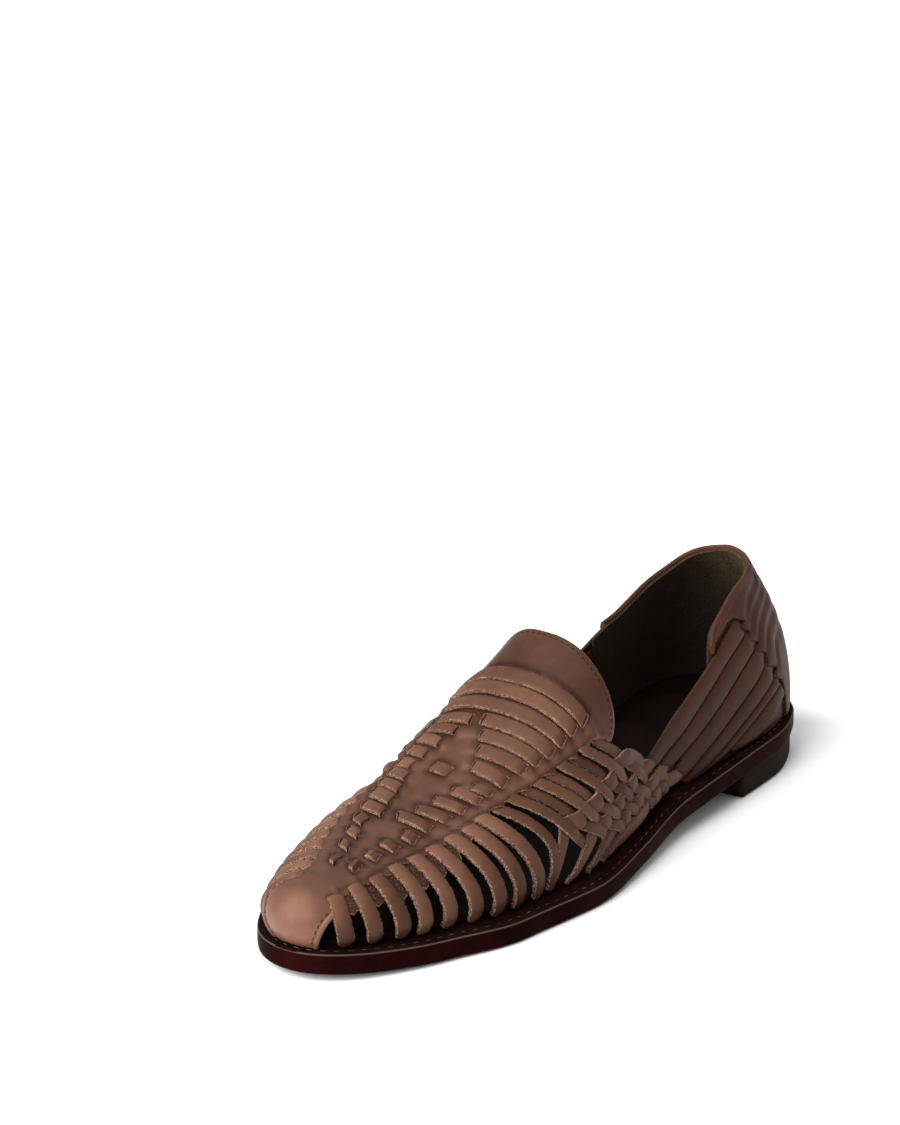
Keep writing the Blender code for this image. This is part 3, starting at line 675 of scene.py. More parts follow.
# A length of strip that shows in the plug: its front corner by the crown, its other front corner, and the
# corner behind that one
Segment = namedtuple("Segment", "near near_around far far_around back back_around")
OUTER_SEGMENTS = [Segment(*row) for row in (
    (9.91, -0.140, 9.96, -0.245, 9.66, -0.190),
    (9.48, -0.117, 9.46, -0.223, 9.24, -0.185),
    (9.10, -0.095, 9.11, -0.232, 8.92, -0.205),
    (8.80, -0.140, 8.80, -0.245, 8.60, -0.208),
    (8.50, -0.015, 8.53, -0.225, 8.36, -0.195),
    (8.30, -0.052, 8.27, -0.247, 8.12, -0.223),
    (8.09, -0.078, 8.05, -0.257, 7.91, -0.240),
    (7.87, -0.112, 7.85, -0.280, 7.73, -0.270),
    (7.73, -0.180, 7.69, -0.297, 7.58, -0.295),
    (7.54, -0.107, 7.54, -0.318, 7.40, -0.305),
    (7.37, -0.075, 7.32, -0.350, 7.18, -0.340),
    (7.21, -0.040, 7.16, -0.380, 7.02, -0.372),
    (7.05, -0.010, 7.01, -0.402, 6.86, -0.395),
)]
INNER_SEGMENTS = [Segment(*row) for row in (
    (10.01, -0.032, 9.95, 0.030, 9.60, 0.050),
    (9.52, 0.000, 9.38, 0.113, 9.12, 0.150),
    (9.13, 0.040, 8.98, 0.177, 8.76, 0.200),
    (8.80, 0.107, 8.65, 0.228, 8.44, 0.225),
    (8.53, 0.055, 8.39, 0.258, 8.20, 0.275),
    (8.29, 0.083, 8.14, 0.292, 7.94, 0.305),
    (8.06, 0.100, 7.92, 0.320, 7.77, 0.335),
    (7.86, 0.130, 7.74, 0.335, 7.60, 0.345),
    (7.69, 0.170, 7.61, 0.325, 7.48, 0.322),
    (7.54, 0.127, 7.43, 0.335, 7.31, 0.340),
    (7.39, 0.093, 7.28, 0.325, 7.16, 0.335),
    (7.22, 0.055, 7.17, 0.310, 7.06, 0.315),
    (7.07, 0.018, 7.07, 0.275, 6.95, 0.285),
)]
CROWN_SEGMENT = Segment(7.66, 0.045, 7.68, -0.018, 7.55, -0.030)
TONGUE_STRIPS = [Segment(*row) for row in (
    (6.90, 0.300, 6.84, -0.417, 6.70, -0.408),
    (6.72, 0.380, 6.68, -0.432, 6.54, -0.425),
    (6.58, 0.440, 6.52, -0.453, 6.38, -0.447),
)]
ALL_SEGMENTS = OUTER_SEGMENTS + INNER_SEGMENTS + [CROWN_SEGMENT] + TONGUE_STRIPS
PLUG_LIFT = 0.00225
PLUG_THICK = 0.0013
PLUG_GRID = 0.0009
PUCKER_TALL = 0.0011
PUCKER_WIDE = 0.0014
LOW_PUCKER_TALL = 0.0006
SLIT_SHARE = 0.08
TONGUE_EDGE = (
    (6.25, 0.640), (6.16, 0.625), (6.08, 0.580), (6.03, 0.50), (6.01, 0.40), (5.985, 0.24), (5.975, 0.08),
)
CAP_EDGE = ((10.76, 0.62), (10.97, 0.70), (11.13, 0.80), (11.24, 0.90), (11.30, 1.0))


def strip_tops(side):
    """Where each strip comes out from under the plug on one side: its front corner."""
    return [(one.top, one.outer if side < 0 else one.inner) for one in STRIPS] + list(WOVEN_TOPS)


def plug_edge():
    """The plug's whole edge: zigzag, tongue and toe cap, on both sides."""
    halves = []
    for side in (-1, 1):
        tops = strip_tops(side)
        line = [(station, 1.0) for station in (11.85, 11.70, 11.55, 11.42)] + list(CAP_EDGE[::-1])
        for (station, around), (following, _) in zip(tops, tops[1:]):
            line.append((station, around))
            line.append((following + 0.03, around + 0.05))
        line.append(tops[-1])
        line.append((6.32, 0.60))
        line += list(curved(TONGUE_EDGE, 3))
        halves.append([(station, side * around) for station, around in line])
    return flat([(12.0, 0.0)] + halves[0] + halves[1][::-1])


def corners(segment):
    """The segment's four corners: two by the crown, then two at its far end, the front ones outermost."""
    near = np.array((segment.near, segment.near_around))
    far = np.array((segment.far, segment.far_around))
    wide = np.array((segment.back, segment.back_around)) - far
    return np.array((near, near + wide, far + wide, far))


def opening(segment):
    """The hole in the plug that the segment shows through, narrower than the strip, in the flat pattern."""
    near, near_back, far_back, far = corners(segment)
    by_crown = (near_back - near) * SLIT_SHARE
    by_edge = (far_back - far) * SLIT_SHARE
    return flat((near + by_crown, near_back - by_crown, far_back - by_edge, far + by_edge))


def plug_height(points):
    """The plug's height over the last: level, with puckers over the hidden parts of strips."""
    ridges = []
    for segments, side in ((OUTER_SEGMENTS + TONGUE_STRIPS, -1), (INNER_SEGMENTS, 1)):
        tops = strip_tops(side)
        for segment, top, following in zip(segments, tops[2:], tops[3:] + [(6.38, 0.57)]):
            quad = flat(corners(segment))
            near, far = (quad[0] + quad[1]) / 2, (quad[2] + quad[3]) / 2
            under = flat([((top[0] + following[0]) / 2, side * (top[1] + 0.02))])[0]
            away = (near - far) / np.linalg.norm(near - far)
            ridges.append((PUCKER_TALL, far, under, PUCKER_WIDE))
            ridges.append((0.0010, near + away * 0.0003, near + away * 0.0022, PUCKER_WIDE))
    for side in (-1, 1):
        for top, following in zip(strip_tops(side)[:2], strip_tops(side)[1:3]):
            middle = (top[0] + following[0]) / 2
            ends = flat([(middle, side * (top[1] + 0.02)), (middle, side * (top[1] - 0.06))])
            ridges.append((LOW_PUCKER_TALL, ends[0], ends[1], 0.0016))
    quad = flat(corners(CROWN_SEGMENT))
    along = (quad[0] - quad[3]) / np.linalg.norm(quad[0] - quad[3])
    for end, away in (((quad[0] + quad[1]) / 2, along), ((quad[2] + quad[3]) / 2, -along)):
        ridges.append((LOW_PUCKER_TALL, end + away * 0.0005, end + away * 0.004, 0.0015))
    rise = np.zeros(len(points))
    for tall, start, end, wide in ridges:
        rise = np.maximum(rise, tall * np.exp(-(distance_to(points, np.array((start, end))) / wide) ** 2))
    return PLUG_LIFT + rise


# The plug's tone, what changes it, and where: heights in metres, the toe by station. It holds a painted
# highlight low on the toe's front and painted shade on the toe's top, on the tongue and along the slits.
PLUG_TONE = 0.36
TONGUE_SHADE = 0.16
TOE_TOP_SHADE = 0.20
TOE_HIGHLIGHT = 0.66
TOE_BEGINS = 10.4
TOE_FULL = 11.6
HIGHLIGHT_BEGINS = 0.036
HIGHLIGHT_FULL = 0.014
CREASE_SHADE = 0.32
CREASE_SHADE_WIDE = 0.0013


def plug_tone(points):
    """The plug's tone: painted shade on tongue, toe top and slit creases, and a painted highlight low on the
    toe.
    """
    station, around = unflat(points)
    low = np.clip((HIGHLIGHT_BEGINS - on_last(station, around, 0.0)[:, 2]) / (HIGHLIGHT_BEGINS - HIGHLIGHT_FULL), 0, 1)
    toe = np.clip((station - TOE_BEGINS) / (TOE_FULL - TOE_BEGINS), 0, 1)
    crease = np.full(len(points), 1.0)
    for segment in ALL_SEGMENTS:
        crease = np.minimum(crease, distance_to(points, looped(flat(corners(segment)))))
    for side in (-1, 1):
        zigzag = flat(np.array(strip_tops(side)) * (1, side))
        crease = np.minimum(crease, distance_to(points, zigzag) + 0.0006)
    tongue = np.clip((6.55 - station) / 0.2, 0, 1)
    # Painted highlight low on the toe's front; painted shade on its top, on the tongue and along the slits
    # and zigzag edge.
    lightened = TOE_HIGHLIGHT * toe**2 * (3 - 2 * toe) * low
    waxed = TONGUE_SHADE * tongue + TOE_TOP_SHADE * toe * (1 - low)
    return PLUG_TONE + lightened - waxed - CREASE_SHADE * np.exp(-(crease / CREASE_SHADE_WIDE) ** 2)


plug = blank()
openings = [opening(segment) for segment in ALL_SEGMENTS]
panel(plug, plug_edge(), plug_height, PLUG_THICK, PLUG_GRID, tone=plug_tone, holes=openings)
finished(plug, "plug_and_tongue", [plug_leather], "upper")

# Side strips. Straps cut in one with the sides, about 6 mm wide, that come out from under the plug's
# zigzag edge, run down over the open sides and are lasted under at the welt. Their cut edges are raw.
STRIP_THICK = 0.0022
SIDE_STRIP_WIDE = 0.0058
# The same leather with less wax: a warmer tan with little shine, and rough pale fibres at the cut edges
strip_leather = leather("Pull-up strip leather", "#26130d", "#785544", "#a5836c", 0.46, gloss=0.12)
# A strip's section, from its front edge over the top and back below: share across, and share of thickness
STRIP_SECTION = (
    (0.03, -0.07), (0.09, -0.01), (0.18, 0.0), (0.34, 0.0), (0.50, 0.0), (0.66, 0.0), (0.82, 0.0),
    (0.91, -0.01), (0.97, -0.07), (1.00, -0.22), (1.00, -0.50), (1.00, -0.80),
    (0.96, -1.00), (0.66, -1.00), (0.34, -1.00), (0.04, -1.00),
    (0.00, -0.80), (0.00, -0.50), (0.00, -0.22),
)
EDGE_FIBRE = 0.32
END_FIBRE = 0.4
END_SHADE = 0.2
chance = np.random.default_rng(11)


def strip(
    mesh, front, back, lift, rows, tone, thick=STRIP_THICK, crown=0.0006, tilt=0.0, fade=0.0, fray=0.00028,
):
    """A leather strip between two long edges, given as places along it, with its height off the last.

    lift is rows of (share along, height of the top). The top is crowned, tilted up towards the front edge
    by tilt, and loses fade of its tone along it, a painted shade towards its lower end. Both ends are darker
    by END_SHADE, painted shade where the strip goes under. The cut edges are frayed by up to fray.
    """
    section = np.array(STRIP_SECTION)
    count = len(section)
    before = set(mesh.verts)
    bmesh.ops.create_grid(mesh, x_segments=count, y_segments=rows + 1, size=0.5)
    verts = [vert for vert in mesh.verts if vert not in before]
    shares = np.array([(vert.co.x + 0.5, vert.co.y + 0.5) for vert in verts])
    around = np.rint(shares[:, 0] * count).astype(int) % count
    row = np.rint(shares[:, 1] * (rows + 1)).astype(int)
    t = np.clip((row - 1) / (rows - 1), 0, 1)
    cap = (row == 0) | (row == rows + 1)
    s = np.where(cap, 0.5, section[around, 0])
    drop = np.where(cap, -0.5, section[around, 1])
    run = np.linspace(0, 1, len(front))
    edges = [at_run(t, run, line) for line in (front, back)]
    ends = [on_last(*edge.T, 0) for edge in edges]
    width = np.maximum(np.linalg.norm(ends[1] - ends[0], axis=1), 0.002)
    raw = (chance.random((rows + 2, count)) - 0.5) * 2 * fray
    at_side = np.abs(section[:, 0] - 0.5) > 0.45
    push = raw[row, around] * at_side[around] * ~cap
    s = s + np.sign(s - 0.5) * push / width
    places = edges[0] + (edges[1] - edges[0]) * s[:, None]
    across = 2 * np.clip(s, 0, 1) - 1
    height = np.interp(t, *np.array(lift).T) + crown * (1 - across**2) - tilt * across + drop * thick
    points = on_last(*places.T, height)
    cut = mesh.verts.layers.float["cut"]
    shade = mesh.verts.layers.float["tone"]
    for i, vert in enumerate(verts):
        vert.co = points[i]
        vert[cut] = 0.0 if drop[i] > -0.05 else (EDGE_FIBRE if drop[i] > -0.1 else 1.0)
        vert[shade] = tone - fade * t[i]
        # Painted shade: the strip's two end rows are darker, where it goes under other leather and at the
        # welt.
        if row[i] < 2 or row[i] > rows - 1:
            vert[cut] *= END_FIBRE
            vert[shade] -= END_SHADE
    bmesh.ops.remove_doubles(mesh, verts=verts, dist=1e-7)


def eased(knots, pieces):
    """Heights along a strip, smoothed between the given ones."""
    knots = np.array(knots)
    t = np.linspace(0, 1, pieces + 1)
    row = np.clip(np.searchsorted(knots[:, 0], t, side="right") - 1, 0, len(knots) - 2)
    share = (t - knots[row, 0]) / np.maximum(knots[row + 1, 0] - knots[row, 0], 1e-9)
    share = np.clip(share, 0, 1)
    share = share**2 * (3 - 2 * share)
    return np.column_stack((t, knots[row, 1] + (knots[row + 1, 1] - knots[row, 1]) * share))


def beside(line, offset):
    """The places at an offset in metres to one side of a line of places, measured over the last."""
    station, around = line[:, 0], line[:, 1]
    step = 0.004
    by_station = (on_last(station + step, around, 0) - on_last(station - step, around, 0)) / (2 * step)
    by_around = (on_last(station, around + step, 0) - on_last(station, around - step, 0)) / (2 * step)
    ahead = np.gradient(on_last(station, around, 0), axis=0)
    across = np.cross(np.cross(by_station, by_around), ahead)
    across *= (np.broadcast_to(offset, len(line)) / np.linalg.norm(across, axis=1))[:, None]
    ss = (by_station**2).sum(axis=1)
    kk = (by_around**2).sum(axis=1)
    sk = (by_station * by_around).sum(axis=1)
    sa = (by_station * across).sum(axis=1)
    ka = (by_around * across).sum(axis=1)
    spread = ss * kk - sk**2
    return line + np.column_stack(((sa * kk - ka * sk) / spread, (ka * ss - sa * sk) / spread))


def paced(line, count):
    """The line of places as count places at an even pace over the last."""
    run = run_along(on_last(*line.T, 0))
    return at_run(np.linspace(0, run[-1], count), run, line)


SIDE_KNOTS = ((0, 0.0004), (0.07, 0.0012), (0.16, 0.0024), (0.85, 0.0025), (0.95, 0.0018), (1, 0.0008))
sides = blank()
for side in (-1, 1):
    for one in STRIPS:
        start = one.outer if side < 0 else one.inner
        slope = (one.top - one.front) / (1 - start)
        front = np.array([(one.top + 0.07 * slope, start - 0.07), (one.front, 1.0)])
        front = paced(front, 40) * (1, side)
        broad = np.linspace(SIDE_STRIP_WIDE, SIDE_STRIP_WIDE * 0.92, 40)
        broad[-4:] *= (0.97, 0.9, 0.78, 0.6)
        back = beside(front, side * broad)
        front[-4:] += (back[-4:] - front[-4:]) * np.array((0.0, 0.03, 0.08, 0.18))[:, None]
        tone = 0.56 + 0.25 * chance.random()
        # The tone fade darkens each side strip towards the welt: painted shade.
        strip(sides, front, back, eased(SIDE_KNOTS, 60), 110, tone, tilt=0.0002, crown=0.0008, fade=0.52)
finished(sides, "side_strips", [strip_leather], "upper")

# Binding. The plug's edge at the opening beside the toe cap is turned in and shows as a narrow roll.
# Dark thread holds it down, and runs round the tongue's edge too.
BINDING_KNOTS = ((0, 0.0026), (1, 0.0026))
BINDING_THICK = 0.0017
BINDING_TONE = 0.75
THREAD_LONG = 0.0017
THREAD_PITCH = 0.0026
THREAD_INSET = 0.0020
# Dark thread, waxed: a thin dull line a little darker than the leather, with a twist 0.4 mm wide
dark_thread = finish(
    "Dark waxed thread", "#100806", {"twist": (2, 2500, 2500, 2500)}, (("twist", 0, 1, "#2b1c14"),),
    0.7, ("twist", 0.0001), 0.1,
)


def sewn(mesh, line, lift):
    """Stitches along a line of places, at a height over the last."""
    line = paced(line, 300)
    points = on_last(*line.T, lift)
    normals = last_normal(line[:, 0] / STATIONS, line[:, 1])
    run = run_along(points)
    for start in np.arange(THREAD_PITCH / 2, run[-1] - THREAD_PITCH, THREAD_PITCH):
        stitch(mesh, *at_run([start, start + THREAD_LONG], run, points), at_run(start, run, normals))


binding = blank()
seams = blank()
for side in (-1, 1):
    line = paced(curved(CAP_EDGE, 6), 40) * (1, side)
    front, back = [beside(line, side * out) for out in (0.0004, -0.0014)]
    strip(binding, front, back, BINDING_KNOTS, 60, BINDING_TONE, thick=BINDING_THICK, crown=0.0004, fray=0.0)
    sewn(seams, beside(line, -side * THREAD_INSET), PLUG_LIFT)
tongue = [(station, -around) for station, around in TONGUE_EDGE]
tongue += [(station, -around) for station, around in tongue[::-1]]
sewn(seams, beside(curved(tongue, 6), -THREAD_INSET), PLUG_LIFT)
finished(binding, "toe_opening_binding", [plug_leather], "upper")
finished(seams, "upper_stitching", [dark_thread], "upper")

# Under-flap. The plug's lower layer backs its slits and keeps them dark. Near the toe it shows between the
# strips' tops, its rough edge gathered in small scallops. It is the same leather, flesh side out.
SCALLOP_ENDS = (0.62, 0.60, 0.60, 0.575, 0.535, 0.48, 0.41)
SCALLOP = ((0.15, 0.0), (0.45, 0.0), (0.6, 0.035), (0.7, 0.02), (0.8, 0.045), (0.95, 0.02))
FLAP_LIFT = 0.0012
FLAP_WAVE = 0.00025
FLAP_THICK = 0.0010
FLAP_GRID = 0.0013
FLAP_TONE = 0.05
FLAP_FIBRE = 0.36


def flap_height(points):
    """The flap's height over the last: flat, with the small waves of its flesh side."""
    return FLAP_LIFT + FLAP_WAVE * np.sin(points[:, 0] * 5200) * np.sin(points[:, 1] * 4300)


flap = blank()
halves = []
for side in (-1, 1):
    tops = strip_tops(side)
    line = [(10.95, side * 0.66)]
    for (station, around), (following, _), low in zip(tops, tops[1:], SCALLOP_ENDS):
        pitch = station - following
        for share, deep in SCALLOP:
            line.append((station - pitch * share, side * (low + deep)))
    line += [(station - 0.05, side * (around - 0.01)) for station, around in tops[len(SCALLOP_ENDS) + 1:]]
    halves.append(line)
edge = flat(halves[0] + halves[1][::-1])
panel(flap, edge, flap_height, FLAP_THICK, FLAP_GRID, tone=FLAP_TONE, round_edge=0.0003)
cut = flap.verts.layers.float["cut"]
for vert in flap.verts:
    vert[cut] = max(vert[cut], FLAP_FIBRE)
finished(flap, "under_flap", [strip_leather], "upper")

# Centre pieces. Where a strip crosses the plug it comes up through one slit and goes down through the next,
# so a short length of it shows. Three longer ones cross the tongue's root.
CROWN_GAP = 0.0003
TUCK = 0.0009
CENTRE_THICK = 0.0024
CENTRE_ROW = 0.0007
centre = blank()
for segment in ALL_SEGMENTS:
    near, near_back, far_back, far = corners(segment)
    front, back = [paced(curved(ends, 12), 30) for ends in ((near, far), (near_back, far_back))]
    long = run_along(on_last(*front.T, 0))[-1]
    step = (far - near) / long
    for line in (front, back):
        line[0] += step * CROWN_GAP
        line[-1] += step * TUCK
    rim = 0.0008 / long
    lift = np.array((
        (0, 0.0002), (rim, 0.0010), (rim * 3, 0.0013),
        (1 - rim * 4, 0.0011), (1 - rim * 1.5, 0.0004), (1, -0.0008),
    ))
    lift[:, 1] += PLUG_LIFT
    tone = 0.36 + 0.25 * chance.random()
    rows = int(long / CENTRE_ROW) + 6
    strip(centre, front, back, lift, rows, tone, thick=CENTRE_THICK, crown=0.0002, tilt=0.0004)
finished(centre, "centre_strips", [strip_leather], "upper")

# Weave. On each side nine strips from the plug cross four runs that come forward from the heel.
# Each goes over one and under the next, and all of them are lasted under at the welt.
CROSSINGS = ((0.43, 0.750), (0.69, 0.860), (0.97, 0.930), (1.24, 0.968))
RUNS_CROSSED = (0, 1, 2, 3, 3, 4, 4, 4, 4)
WEAVE_THICK = 0.0015
WEAVE_WIDE = 0.0041
RUN_WIDE = 0.0056
WEAVE_OVER = 0.0029 + WEAVE_THICK / 2
WEAVE_UNDER = 0.0009 + WEAVE_THICK / 2
# Where each run is lasted under at the welt, ahead of the strips
TAILS = (
    ((7.46, 0.995), (7.38, 0.93)),
    ((7.19, 0.998), (7.05, 0.965)),
    ((6.85, 0.998), (6.75, 0.975)),
    ((6.58, 0.998), (6.42, 0.985)),
)
# The straps' edges over the quarter, from the weave or welt up to the counter's slits. A strap lies between
# each two.
STRAP_EDGES = (
    ((5.66, 0.855), (5.32, 0.843), (4.82, 0.787), (4.32, 0.703), (3.82, 0.613), (3.38, 0.545)),
    ((5.45, 0.907), (4.91, 0.875), (4.50, 0.810), (4.01, 0.722), (3.48, 0.647), (3.13, 0.600)),
    ((5.10, 0.948), (4.54, 0.890), (3.97, 0.807), (3.42, 0.722), (3.01, 0.665)),
    ((4.87, 0.988), (4.34, 0.935), (3.78, 0.867), (3.19, 0.792), (2.86, 0.730)),
    ((4.76, 1.000), (4.24, 0.975), (3.56, 0.907), (3.04, 0.848), (2.66, 0.800)),
    ((4.02, 0.985), (3.44, 0.930), (2.90, 0.873), (2.47, 0.842)),
    ((3.40, 0.995), (2.95, 0.965), (2.60, 0.925), (2.30, 0.895)),
)
# The end of the first run, under the first strap, and of the first strip, which no run crosses
FIRST_RUN = ((5.85, 0.812), (5.58, 0.905), (5.28, 0.945), (5.08, 0.975))
FIRST_STRIP = ((7.45, 0.728), (7.40, 0.857), (7.44, 0.99))
HOLD = 0.0018
# Shares along a run, and its width there
RUN_TAPER = ((0, 0.10, 0.22, 0.86, 1), (0.2, 0.55, 1, 1, 0.45))


def held(line, heights):
    """Knots that hold each height for HOLD to both sides of its place along the line."""
    run = run_along(on_last(*np.array(line).T, 0))
    knots = [((at + way * HOLD) / run[-1], height) for at, height in zip(run, heights) for way in (-1, 1)]
    return [(min(max(share, 0), 1), height) for share, height in knots[1:-1]]


def woven(line, heights, side, counts, broad, tone, **look):
    """One strip of the weave along a line of places, at a height over the last for each of them.

    counts gives how many heights, places along its edges and rows of faces it is worked out with.
    """
    lift = eased(held(line, heights), counts[0])
    line = paced(curved(line, 6), counts[1]) * (1, side)
    strip(weave, beside(line, -side * broad / 2), beside(line, side * broad / 2), lift, counts[2], tone,
          thick=WEAVE_THICK, crown=0.0005, **look)


weave = blank()
for side in (-1, 1):
    for index, ((top, start), crossed) in enumerate(zip(WOVEN_TOPS, RUNS_CROSSED)):
        line = [(top - 0.05, start - 0.06), (top - 0.11, start + 0.05)]
        heights = [0.0006, 0.0029 if index % 2 else 0.0015]
        for run in range(crossed):
            line.append((top - CROSSINGS[run][0], CROSSINGS[run][1]))
            heights.append(WEAVE_OVER if (index + run) % 2 else WEAVE_UNDER)
        if crossed == 0:
            line += FIRST_STRIP
            heights += [0.0020, 0.0014, 0.0008]
        elif crossed < 4:
            back, around = CROSSINGS[crossed]
            line.append((top - back, around + 0.02))
            heights.append(0.0006)
        else:
            line.append((top - 1.36, 0.992))
            heights.append(0.0006)
        # The weave's strips take a lower tone than the side strips: painted shade over the rear of the side.
        # Their fade darkens them towards the welt, painted shade too.
        tone = 0.22 + 0.20 * chance.random()
        woven(line, heights, side, (120, 60, 100), WEAVE_WIDE, tone, tilt=0.0002, fade=0.15)
    for run, ((back, around), tail) in enumerate(zip(CROSSINGS, TAILS)):
        line = list(tail)
        heights = [0.0005, 0.0014]
        for index, crossed in enumerate(RUNS_CROSSED):
            if crossed > run:
                line.append((WOVEN_TOPS[index][0] - back, around))
                heights.append(WEAVE_UNDER if (index + run) % 2 else WEAVE_OVER)
        if run == 0:
            line += FIRST_RUN
            heights += [0.0024, 0.0012, 0.0028, 0.0010]
        else:
            middle = (np.array(STRAP_EDGES[run - 1][0]) + STRAP_EDGES[run][0]) / 2
            line += [middle, middle + (-0.25, -0.005)]
            heights += [0.0026, 0.0014]
        broad = RUN_WIDE * np.interp(np.linspace(0, 1, 120), *RUN_TAPER)
        # The runs take the same low tone: painted shade over the rear of the side.
        woven(line, heights, side, (160, 120, 130), broad, 0.20 + 0.20 * chance.random(), fray=0.0001)
finished(weave, "woven_strips", [strip_leather], "upper")

# Straps. The quarter's leather is slit into six straps that run up from weave and welt to the counter.
# Below and behind them the same leather goes down to the welt in one piece.
QUARTER_LIFT = 0.0016
QUARTER_THICK = 0.0009
QUARTER_GRID = 0.0025
STRAP_GAP = 0.03
STRAP_THICK = 0.0014
STRAP_KNOTS = ((0.15, 0.0028), (0.94, 0.0028), (0.985, 0.0017), (1, 0.0016))
# The quarter's and counter's leather: a deep, cool brown with hardly any shine, coloured darker than the
# strip leather as painted shade over the back of the shoe
counter_leather = leather("Waxed counter leather", "#220f0a", "#5e3d31", "#4d362c", 0.48, gloss=0.06)
# How much of the way down to the welt the inner side's lower topline draws the quarter's places, by station
INNER_DRAW = (
    (0.0, 0.0), (1.3, 0.04), (1.9, 0.095), (2.5, 0.150), (2.9, 0.178),
    (3.3, 0.174), (3.8, 0.134), (4.4, 0.078), (5.0, 0.022), (5.6, 0.0),
)
# The back and lower edge of the piece below the straps
QUARTER_BACK = (
    (3.0, 0.66), (2.3, 0.80), (1.9, 0.90), (1.9, 1.0), (2.6, 1.0), (3.3, 1.0), (4.0, 1.0), (4.7, 1.0),
)


def on_quarter(line, side):
    """Places measured on the outer side, drawn down towards the welt where the side is the inner one."""
    line = np.array(line, float)
    if side > 0:
        line[:, 1] += (1 - line[:, 1]) * np.interp(line[:, 0], *curved(INNER_DRAW, 6).T)
    return line


def quarter_tone(points):
    """The tone of the piece below the straps: like them behind, and darker in the gaps between them as
    painted shade.
    """
    return np.where(unflat(points)[0] < 3.1, 0.14, -0.05)


straps = blank()
for side in (-1, 1):
    below = [(5.62, 1.0), (5.74, 0.93)] + [(station, around + 0.03) for station, around in STRAP_EDGES[0]]
    below += QUARTER_BACK
    below = flat(on_quarter(below, side) * (1, side))
    panel(straps, below, QUARTER_LIFT, QUARTER_THICK, QUARTER_GRID, tone=quarter_tone)
    for index, (high, low) in enumerate(zip(STRAP_EDGES, STRAP_EDGES[1:])):
        edges = [paced(on_quarter(curved(edge, 6), side), 50) * (1, side) for edge in (high, low)]
        taper = 0.20 * np.clip(1 - np.linspace(0, 1, 50) / 0.14, 0, 1) ** 2 if index else np.zeros(50)
        shift = (edges[1] - edges[0]) * (STRAP_GAP + taper)[:, None]
        knots = ((0, 0.0016), (0.03, 0.0029 if index < 3 else 0.0022)) + STRAP_KNOTS
        tone = 0.14 + 0.10 * chance.random()
        # fade below zero darkens each strap towards its lower front end at the weave and welt: painted
        # shade, with some dark dye.
        strip(straps, edges[0] + shift, edges[1] - shift, eased(knots, 80), 80, tone,
              thick=STRAP_THICK, fade=-0.16, fray=0.00003)
finished(straps, "quarter_straps", [counter_leather], "upper")

# Counter. A stiffened piece round the heel. The straps go in through a step of slits in its front edge,
# and show under it as soft ridges that rise to the back of the collar.
SLITS = (
    (3.42, 0.540, 3.17, 0.565),
    (3.31, 0.587, 3.11, 0.610),
    (3.23, 0.640, 2.94, 0.662),
    (3.08, 0.690, 2.82, 0.712),
    (2.90, 0.758, 2.54, 0.785),
    (2.77, 0.807, 2.44, 0.838),
)
# The valleys between the straps' ridges under the counter, each from its slit up towards the back
VALLEYS = (
    ((3.06, 0.552), (2.72, 0.478), (1.90, 0.425)),
    ((3.07, 0.613), (2.75, 0.532), (1.66, 0.470), (0.60, 0.420)),
    ((3.02, 0.670), (2.71, 0.585), (2.03, 0.535), (0.90, 0.500)),
    ((2.83, 0.712), (2.60, 0.640), (2.06, 0.600), (1.00, 0.575)),
    ((2.53, 0.785), (2.39, 0.700), (1.97, 0.670), (1.00, 0.655)),
)
# The collar's line from the back seam forward
OUTER_TOPLINE = (
    (0.00, 0.34), (0.85, 0.348), (1.67, 0.36), (2.40, 0.388), (3.02, 0.425), (3.55, 0.497), (3.96, 0.568),
    (4.12, 0.63),
)
INNER_TOPLINE = (
    (0.00, 0.34), (1.26, 0.380), (1.92, 0.430), (2.48, 0.485), (2.95, 0.542), (3.30, 0.588), (3.61, 0.630),
    (3.90, 0.655),
)
COUNTER_LIFT = 0.0030
COUNTER_THICK = 0.0013
COUNTER_GRID = 0.0013
COUNTER_TONE = 0.31
VALLEY_DEEP = 0.0008
VALLEY_WIDE = 0.0013
BACK_SEAM = 0.002


def topline(side):
    """The collar's line on one side, from the back seam forward."""
    return curved(OUTER_TOPLINE if side < 0 else INNER_TOPLINE, 5) * (1, side)


def counter_height(points):
    """The counter's height over the last, with soft valleys between the straps hidden under it."""
    height = np.full(len(points), COUNTER_LIFT)
    fade = np.clip((unflat(points)[0] - 0.4) / 2.0, 0, 1)
    for side in (-1, 1):
        for valley in VALLEYS:
            away = distance_to(points, flat(on_quarter(curved(valley, 4), side) * (1, side)))
            height -= VALLEY_DEEP * fade * np.exp(-(away / VALLEY_WIDE) ** 2)
    return height


def round_heel(side, top, front):
    """An edge on the quarter: up the back seam to top, along a line of places, and back along the welt."""
    back = [(BACK_SEAM, side * around) for around in np.linspace(1, top, 12)]
    return back + list(front) + [(station, side) for station in (1.5, 1.1, 0.8, 0.5, 0.25)]


counter = blank()
for side in (-1, 1):
    slits = [corner for slit in SLITS for corner in (slit[:2], slit[2:])]
    front = list(topline(side)[1:]) + [(3.62, side * (0.555 if side < 0 else 0.665))]
    front += list(on_quarter(slits, side) * (1, side)) + [(2.32, side * 0.89), (2.20, side), (1.9, side)]
    edge = flat(round_heel(side, 0.34, front))
    panel(counter, edge, counter_height, COUNTER_THICK, COUNTER_GRID, tone=COUNTER_TONE)
finished(counter, "counter", [counter_leather], "upper")

# Lining. Olive-brown suede inside the quarter, its nap towards the foot. It is glued to the straps and the
# counter, joined at the back and cut off square behind the tongue.
LINING_LIFT = 0.0013
LINING_THICK = 0.0012
LINING_GRID = 0.0035
